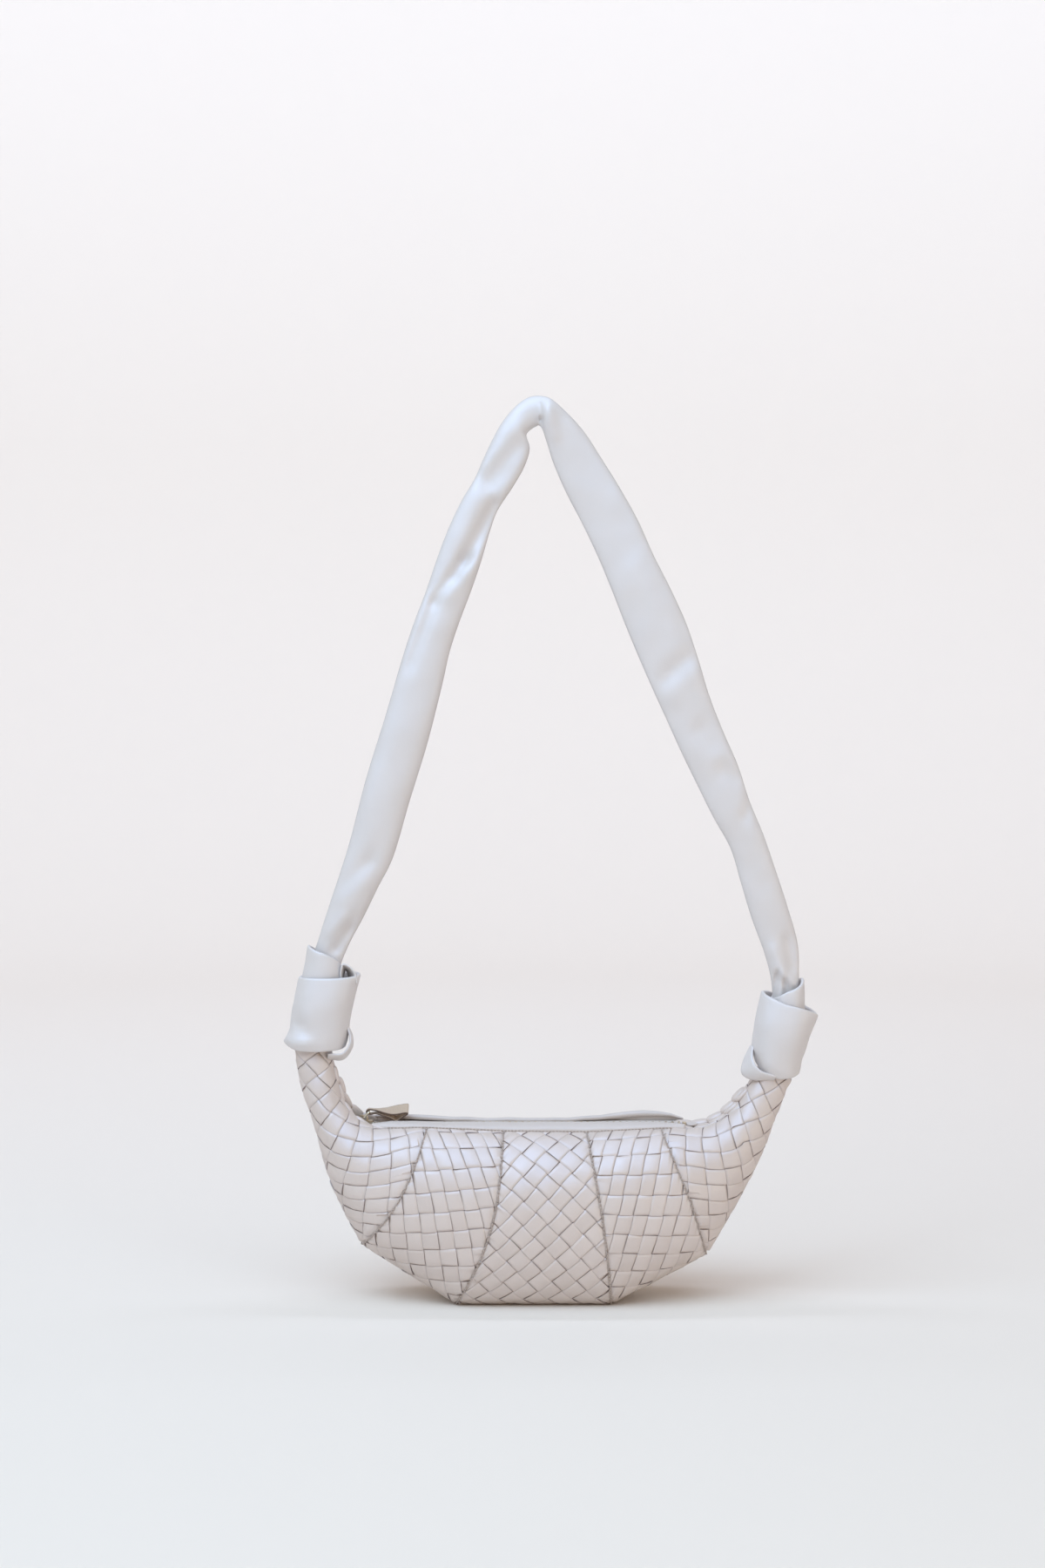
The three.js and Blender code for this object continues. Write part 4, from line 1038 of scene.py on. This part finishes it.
lining_cotton = make_cloth("plain_woven_cotton_lining", "#b9aa9c", 0.9)
tape_cotton = make_cloth("plain_woven_zip_tape", "#cfc6bd", 0.7)
zip_brass = make_metal("brushed_pale_gilt_brass", "#d9cfba", "#b8ab95")
tab_leather = make_raw_leather("flesh_side_leather", "#c3b09b", "#ab9681")
stitch_thread = make_cloth("waxed_polyester_thread", "#9b8b80", 0.5)
METAL_NODES = ("zip_slider", "zip_bottom_stop", "pull_link")
for node in METAL_NODES:
    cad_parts[node].material_slots[0].material = zip_brass
print("metal on", METAL_NODES)

# %% [markdown]
# ## The rim
# Every piece at the mouth follows one line, the rim of the gores. The rim's height is read off the
# same stations as the gores, and the mouth's half width gives the distance of each lip from the
# middle. A binding is a strip folded over one lip: its section is drawn as a curve from the outside
# over the lip to its inner edge, given a wall, and closed by a round nose and heel.

# %% Rim line and bindings
ZIP_HEIGHT, CHAIN_LEFT, CHAIN_RIGHT = 113.0, -115.0, 92.0
RIM_STEPS, BINDING_RINGS, SPINE_STEPS, NOSE_STEPS = 40, 170, 14, 7
LIP_EASE, CHAIN_CLEARANCE = 0.25, 3.6
SWAY, LEAN = (0.4, 13.0, 3.0, 0.5), (0.5, 17.0, 5.0, 2.5)  # amount, length, place in the noise
rim_rows = np.vstack([spread(stations, RIM_STEPS)[:, :2] for stations in GORES.values()])
rim_rows = rim_rows[np.argsort(rim_rows[:, 0])]


def rim_height(x):
    return np.interp(x, rim_rows[:, 0], rim_rows[:, 1])


def binding(name, side, lip_rows, node):
    """Rows: X, height of the inner edge, how far in it lies, and the wall's thickness."""
    table = np.array(lip_rows, float)
    xs = np.linspace(table[0, 0], table[-1, 0], BINDING_RINGS)
    tops, ins, thick = (np.interp(xs, table[:, 0], table[:, k]) for k in (1, 2, 3))
    turn = np.linspace(-math.pi / 2, math.pi / 2, NOSE_STEPS)
    rings = []
    for x, top, reach, wall in zip(xs, tops, ins, thick):
        rim, lip = float(rim_height(x)), float(lip_gap(x)) + LIP_EASE
        inner = max(lip - reach, CHAIN_CLEARANCE)
        sway, lean = (amount * noise.noise(Vector((x / length, y * side, z)))
                      for amount, length, y, z in (SWAY, LEAN))
        # distance from the middle and height of the strip's middle line, foot to inner edge
        spine = spread([
            (lip, rim - 1.8), (lip + 0.1, rim + 0.4), (lip - 0.1, rim + 0.4 * (top - rim) + sway),
            ((lip + inner) / 2 + lean, top - 0.25 + sway), (inner, top + sway)], SPINE_STEPS)
        way = unit(np.gradient(spine, axis=0))
        out = columns(way[:, 1], -way[:, 0]) * wall / 2
        nose, heel = (
            spine[end] + np.outer(np.sin(-sign * turn), out[end])
            + np.outer(np.cos(turn), sign * way[end] * wall / 2)
            for end, sign in ((-1, 1), (0, -1)))
        ring = np.vstack([(spine + out)[:-1], nose, (spine - out)[::-1][1:], heel])
        rings.append(columns(x, side * ring[:, 0], ring[:, 1]))
    return skin(name, rings, facing_leather, replaces=[node])


front_band = binding("front_binding", -1, [
    (-107, 114.4, 1.5, 1.2), (-96, 115, 6, 1.5), (-80, 114.6, 8, 1.6), (-50, 114, 9, 1.6),
    (20, 113.9, 9, 1.6), (60, 114.3, 8, 1.6), (78, 114.4, 6, 1.5), (93.5, 113.6, 1.5, 1.2)],
    "front_facing")
rear_band = binding("rear_binding", 1, [
    (-107, 116.2, 1.5, 1.4), (-98, 116.5, 3.2, 2.2), (-88, 116.2, 4.4, 3.2), (-67, 115.1, 6.5, 3),
    (-34, 114.3, 8, 2.4), (17, 114.2, 8, 2.3), (40, 115.4, 5, 3), (56, 117.1, 3, 4),
    (68, 117.7, 2.4, 4.2), (78, 117.5, 2.3, 3.4), (86, 117, 2.2, 2), (93.5, 114.6, 1.2, 1.2)],
    "rear_facing")
print("bindings:", front_band.name, rear_band.name)

# %% [markdown]
# ## Stitches and folded strips
# A line of small stitches holds each binding and each seam. Along the horns, where there is no
# binding, the strips of the weave fold over the rim and show as small rounded caps, which close the
# right end of the mouth. All are one shape repeated along a path, so one Geometry Nodes tree makes
# them: it spaces points evenly on the path and sets a small pillow on each, turned along the path.

# %% Geometry Nodes tree of pillows on a path
PILLOW_SIZES = {
    "Pitch": 2.2, "Length": 1.9, "Width": 0.6, "Height": 0.6, "Squareness": 0.85, "Segments": 6,
    "Tilt": 0.0}
RINGS_PER_SEGMENT = 0.75


def pillow_tree():
    tree, node, given = new_tree("pillows_on_a_path", PILLOW_SIZES)
    path = node("GeometryNodeMeshToCurve", given["Geometry"])
    points = node("GeometryNodeResampleCurve", {
        "Curve": path, "Length": given["Pitch"]}, mode="LENGTH")
    turn = node("FunctionNodeAlignEulerToVector", {
        "Vector": node("GeometryNodeInputTangent")}, axis="X")
    tilt = node("ShaderNodeCombineXYZ", {"Y": given["Tilt"]})
    turned = node("FunctionNodeRotateEuler", {"Rotation": turn, "Rotate By": tilt}, space="LOCAL")
    ball = node("GeometryNodeMeshUVSphere", {
        "Segments": given["Segments"], "Radius": 1.0,
        "Rings": node("MULTIPLY", given["Segments"], RINGS_PER_SEGMENT)})
    sizes = [given[axis] for axis in ("Length", "Width", "Height")]
    pillow = pull_out(node, ball, sizes, [given["Squareness"]] * 3)
    copies = node("GeometryNodeInstanceOnPoints", {
        "Points": points, "Instance": pillow, "Rotation": turned})
    end_tree(node, copies, given)
    return tree


pillows = pillow_tree()


def pillow_row(name, paths, sizes, material, **settings):
    """Runs the tree on paths in millimetres, then brings the result to metres."""
    points, edges = [], []
    for path in paths:
        edges += [(len(points) + i, len(points) + i + 1) for i in range(len(path) - 1)]
        points += [tuple(point) for point in path]
    seed = bpy.data.meshes.new(name + "_path")
    seed.from_pydata(points, edges, [])
    mesh = run_tree(pillows, name, {**PILLOW_SIZES, **sizes, "Material": material}, seed)
    write_vertices(mesh, vertex_array(mesh) * MM)
    return add_piece(name, mesh, material, **settings)


# %% [markdown]
# The paths come from the same rim and rings as the leather: beside each lip, down each seam, along
# both keels and over the horns' rims. Two or three stitches to the centimetre would be too coarse
# for a small bag, so they stand 2.2 mm apart. The caps stand 9.8 mm apart, a little closer than
# the strips of the weave.

# %% Stitches and folded strips
STITCH_START, STITCH_INSET, STITCH_RISE, PATH_STEPS = -97.0, 1.3, 0.5, 160
SEAM_INSET, KEEL_INSET, KEEL_STEPS, CAP_TUCK, CAP_NEAREST = 0.1, 0.3, 60, 0.6, 1.6
REST_HEIGHT, REST_HALF_WIDTH = 1.5, 4  # the seams are bare where the bag rests on the floor
stitch_paths = []
for side, right_end in ((-1, 84.0), (1, 88.0)):
    line = np.linspace(STITCH_START, right_end, PATH_STEPS)
    stitch_paths.append(columns(
        line, side * (lip_gap(line) + STITCH_INSET), rim_height(line) + STITCH_RISE))
stitches = pillow_row("binding_stitches", stitch_paths, {}, stitch_thread)
seam_paths = []
for gore in list(GORES)[:-1]:
    seam = ring_points(gore, 1.0, SEAM_INSET)
    off_floor = (seam[:, 2] > REST_HEIGHT) | (np.abs(seam[:, 1]) > REST_HALF_WIDTH)
    seam_paths.append(seam[off_floor])
for gore, ends in zip(HORNS, ((0.1, 1.0), (0.0, 0.9))):
    rings = [ring_points(gore, share, KEEL_INSET) for share in np.linspace(*ends, KEEL_STEPS)]
    seam_paths.append(np.array([
        ring[len(ring) // 2 - 1:len(ring) // 2 + 1].mean(axis=0) for ring in rings]))
seam_stitches = pillow_row("seam_stitches", seam_paths, {
    "Pitch": 2.6, "Length": 2.9, "Width": 0.9, "Height": 0.9, "Squareness": 0.8}, stitch_thread)
folds = []
for label, side, low, high, inward, lift, length, width, height in (
        ("front_left", -1, -131.5, -100.0, 0.0, -0.9, 12.4, 4.4, 3.4),
        ("rear_left", 1, -129.5, -98.0, 0.0, 0.2, 12.8, 3.4, 6.2),
        ("front_right", -1, 92.0, 131.0, 0.5, -0.9, 12.4, 10.5, 3.6),
        ("rear_right", 1, 93.0, 130.0, 0.5, 0.2, 12.8, 10.5, 5.4)):
    rim = rim_rows[(rim_rows[:, 0] > low) & (rim_rows[:, 0] < high)]
    offset = np.maximum((1 - inward) * lip_gap(rim[:, 0]) - CAP_TUCK, CAP_NEAREST)
    path = columns(rim[:, 0], side * offset, rim[:, 1] + lift)
    folds.append(pillow_row("folded_strips_" + label, [path], {
        "Pitch": 9.8, "Length": length, "Width": width, "Height": height, "Squareness": 0.7,
        "Segments": 16, "Tilt": 0.07}, woven_leather))
print("faces of the stitches and folded strips:",
      [len(piece.data.polygons) for piece in (stitches, seam_stitches, *folds)])

# %% [markdown]
# ## Lining
# Inside the leather hangs a sewn cotton lining. It follows the gores a little further in, from the
# left horn to the right one, as one thin sheet with an outer and an inner face.

# %% Lining
LINING_OUTSIDE, LINING_INSIDE = 3.3, 3.8
lining_places = [
    (gore, share) for gore, start, end, count in (
        ("end_gore_left", 0.34, 0.97, 12), ("side_gore_left", 0.03, 0.97, 10),
        ("centre_gore", 0.03, 0.97, 10), ("side_gore_right", 0.03, 0.97, 10),
        ("end_gore_right", 0.03, 0.66, 12)) for share in np.linspace(start, end, count)]
outside, inside = (
    np.array([ring_points(gore, share, inset) for gore, share in lining_places])
    for inset in (LINING_OUTSIDE, LINING_INSIDE))
lining = skin("cotton_lining", np.concatenate([outside, inside[:, ::-1]], axis=1), lining_cotton,
              ends="ladder", replaces=["lining"], slot="lining_cloth")
print("lining:", len(lining.data.polygons), "faces")

# %% [markdown]
# ## Zip
# A metal zip closes the mouth. Two woven tapes lie level under the bindings, each with a cord along
# its inner edge, and pressed teeth grip the cords in turn from both sides. The teeth are one small
# shape repeated every 4.2 mm, so the tree of pillows makes them too. The slider, its wire link and
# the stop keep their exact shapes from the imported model.

# %% Zip tapes, cords and teeth
TOOTH_PITCH, TOOTH_PLACE, TOOTH_PATH_STEP, TOOTH_START, TOOTH_END = 4.2, 0.95, 0.7, 0.9, 1.0
CORD_PLACE, CORD_HALF_WIDTH, CORD_HALF_HEIGHT = 2.4, 0.6, 0.95
TAPE_HALF_THICKNESS, TAPE_TUCK, TAPE_NEAREST = 0.3, 2.6, 4.0
TAB_STEPS_ALONG, TAB_HALF_THICKNESS, TAB_INSET, TAB_NOSE, TAB_LIFT = 16, 0.85, 0.05, 0.04, 0.1


def bar(name, rows, material, replaces, slot, power, sides=24):
    """A level bar: X, middle Y, half width, middle Z and half height at each place along it."""
    across, up = rounded(turns(sides), power, power)
    rings = [columns(x, y + half * across, z + high * up) for x, y, half, z, high in rows]
    return skin(name, rings, material, replaces=replaces, slot=slot)


xs = np.linspace(CHAIN_LEFT, CHAIN_RIGHT, 90)
for side, label, shift in ((-1, "front", 0.0), (1, "rear", TOOTH_PITCH / 2)):
    tape = [(x, side * (CORD_PLACE + edge) / 2, (edge - CORD_PLACE) / 2, ZIP_HEIGHT,
             TAPE_HALF_THICKNESS) for x, edge in zip(
                 xs, np.maximum(lip_gap(xs) - TAPE_TUCK, TAPE_NEAREST))]
    bar(label + "_tape", tape, tape_cotton, [label + "_zip_tape"], "zip_cloth", power=0.2)
    cord = [(x, side * CORD_PLACE, CORD_HALF_WIDTH, ZIP_HEIGHT, CORD_HALF_HEIGHT)
            for x in xs[::3]]
    bar(label + "_tape_cord", cord, tape_cotton, [], "zip_cloth", power=0.9, sides=12)
    row = [(x, side * TOOTH_PLACE, ZIP_HEIGHT) for x in np.arange(
        CHAIN_LEFT + TOOTH_START + shift, CHAIN_RIGHT - TOOTH_END, TOOTH_PATH_STEP)]
    teeth = pillow_row(label + "_teeth", [row], {
        "Pitch": TOOTH_PITCH, "Length": 1.7, "Width": 3.7, "Height": 2.3, "Squareness": 0.45,
        "Segments": 10}, zip_brass, slot="pale_metal", replaces=[label + "_zip_teeth"])
for end in ("left", "right"):
    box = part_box("zip_end_tab_" + end)
    left, right = box[0].x / MM + TAB_INSET, box[1].x / MM - TAB_INSET
    half = min(-box[0].y, box[1].y) / MM
    steps = np.linspace(0, 1, TAB_STEPS_ALONG)
    grown = np.sin(math.pi * np.clip(steps, TAB_NOSE, 1 - TAB_NOSE)) ** 0.25
    bar("end_tab_" + end,
        [(left + (right - left) * s, 0, half * g, ZIP_HEIGHT + TAB_LIFT, TAB_HALF_THICKNESS * g)
         for s, g in zip(steps, grown)],
        facing_leather, ["zip_end_tab_" + end], "smooth_leather", power=0.4)
print("zip teeth:", len(teeth.data.polygons), "faces in the rear row")

# %% [markdown]
# ## Pull tab
# The pull is one strip of leather folded round the wire link, with its flesh side out. Its two
# leaves lie together near the link and part at the far end, where the strip turns back in a
# three-cornered loop. The path of the strip is drawn in the plane of the tab and then rolled a
# little about its length, and the edges carry a mark that the material turns into a dark cut.

# %% Pull tab
TAB_AXIS, TAB_HOLE = (-110.243, 120.997), 0.95
TAB_THICK, TAB_ROLL, TAB_STEPS, TAB_SIDES = 1.1, math.radians(28), 120, 20
TAB_NECK, TAB_GROWTH, TAB_DROOP, TAB_DROOP_START, TAB_CUT_SHARE = 5, 5, 0.10, 3, 0.93
TAB_WIDENS, TAB_ROLLS = (2, 7), (4, 14.9)  # where along the tab it starts, and over what length
TAB_WAVE = (0.25, 5, 3, 1.5)  # amount, lengths along X and Z, place in the noise
TAB_PATH = [
    (-TAB_HOLE - 0.6, 0), (-0.6 * TAB_HOLE, TAB_HOLE + 0.42), (TAB_HOLE, TAB_HOLE + 0.6),
    (3.5, 1.1), (9, 1.2), (14.85, 1.6), (19.5, 2.9), (23.6, 4.2), (25, 4.3), (24.8, 3.2),
    (21.5, 0.1), (18.3, -3), (17.2, -3.4), (16.2, -2.9), (12.15, -1), (7.5, -0.9), (3.5, -1.1),
    (TAB_HOLE, -TAB_HOLE - 0.6), (-0.6 * TAB_HOLE, -TAB_HOLE - 0.42)]


def ease(x, start, length):
    """A soft step from nought to one."""
    value = np.clip((x - start) / length, 0, 1)
    return value * value * (3 - 2 * value)


def make_pull_tab():
    amount, long, high, place = TAB_WAVE
    path = [*TAB_PATH[-2:], *TAB_PATH, *TAB_PATH[:3]]
    count = len(path) - 1
    ends = 2 / count, (len(TAB_PATH) + 2) / count
    line = through(path, np.linspace(*ends, TAB_STEPS + 1)[:-1])
    way = unit(np.roll(line, -1, axis=0) - np.roll(line, 1, axis=0))
    across, thick = rounded(turns(TAB_SIDES), 0.3, 0.5)
    rings = []
    for (x, z), (way_x, way_z) in zip(line, way):
        y = across * (TAB_NECK + TAB_GROWTH * ease(x, *TAB_WIDENS)) / 2
        roll = TAB_ROLL * ease(x, *TAB_ROLLS)
        wave = amount * noise.noise(Vector((x / long, z / high, place)))
        wave -= TAB_DROOP * max(x - TAB_DROOP_START, 0)
        out_x = x - thick * TAB_THICK / 2 * way_z
        out_z = z + thick * TAB_THICK / 2 * way_x + wave
        rings.append(columns(
            TAB_AXIS[0] + out_x, y * math.cos(roll) - out_z * math.sin(roll),
            TAB_AXIS[1] + y * math.sin(roll) + out_z * math.cos(roll)))
    piece = skin("folded_pull_tab", rings, tab_leather, ends="looped", body="tab",
                 replaces=["pull_tab"], slot="raw_leather")
    cut = np.tile(np.abs(across) > TAB_CUT_SHARE, TAB_STEPS).astype(float)
    mark_edges(piece, cut[:len(piece.data.vertices)])
    return piece


pull_tab = make_pull_tab()
print("pull tab spans", [round(v / MM, 1) for v in pull_tab.dimensions])
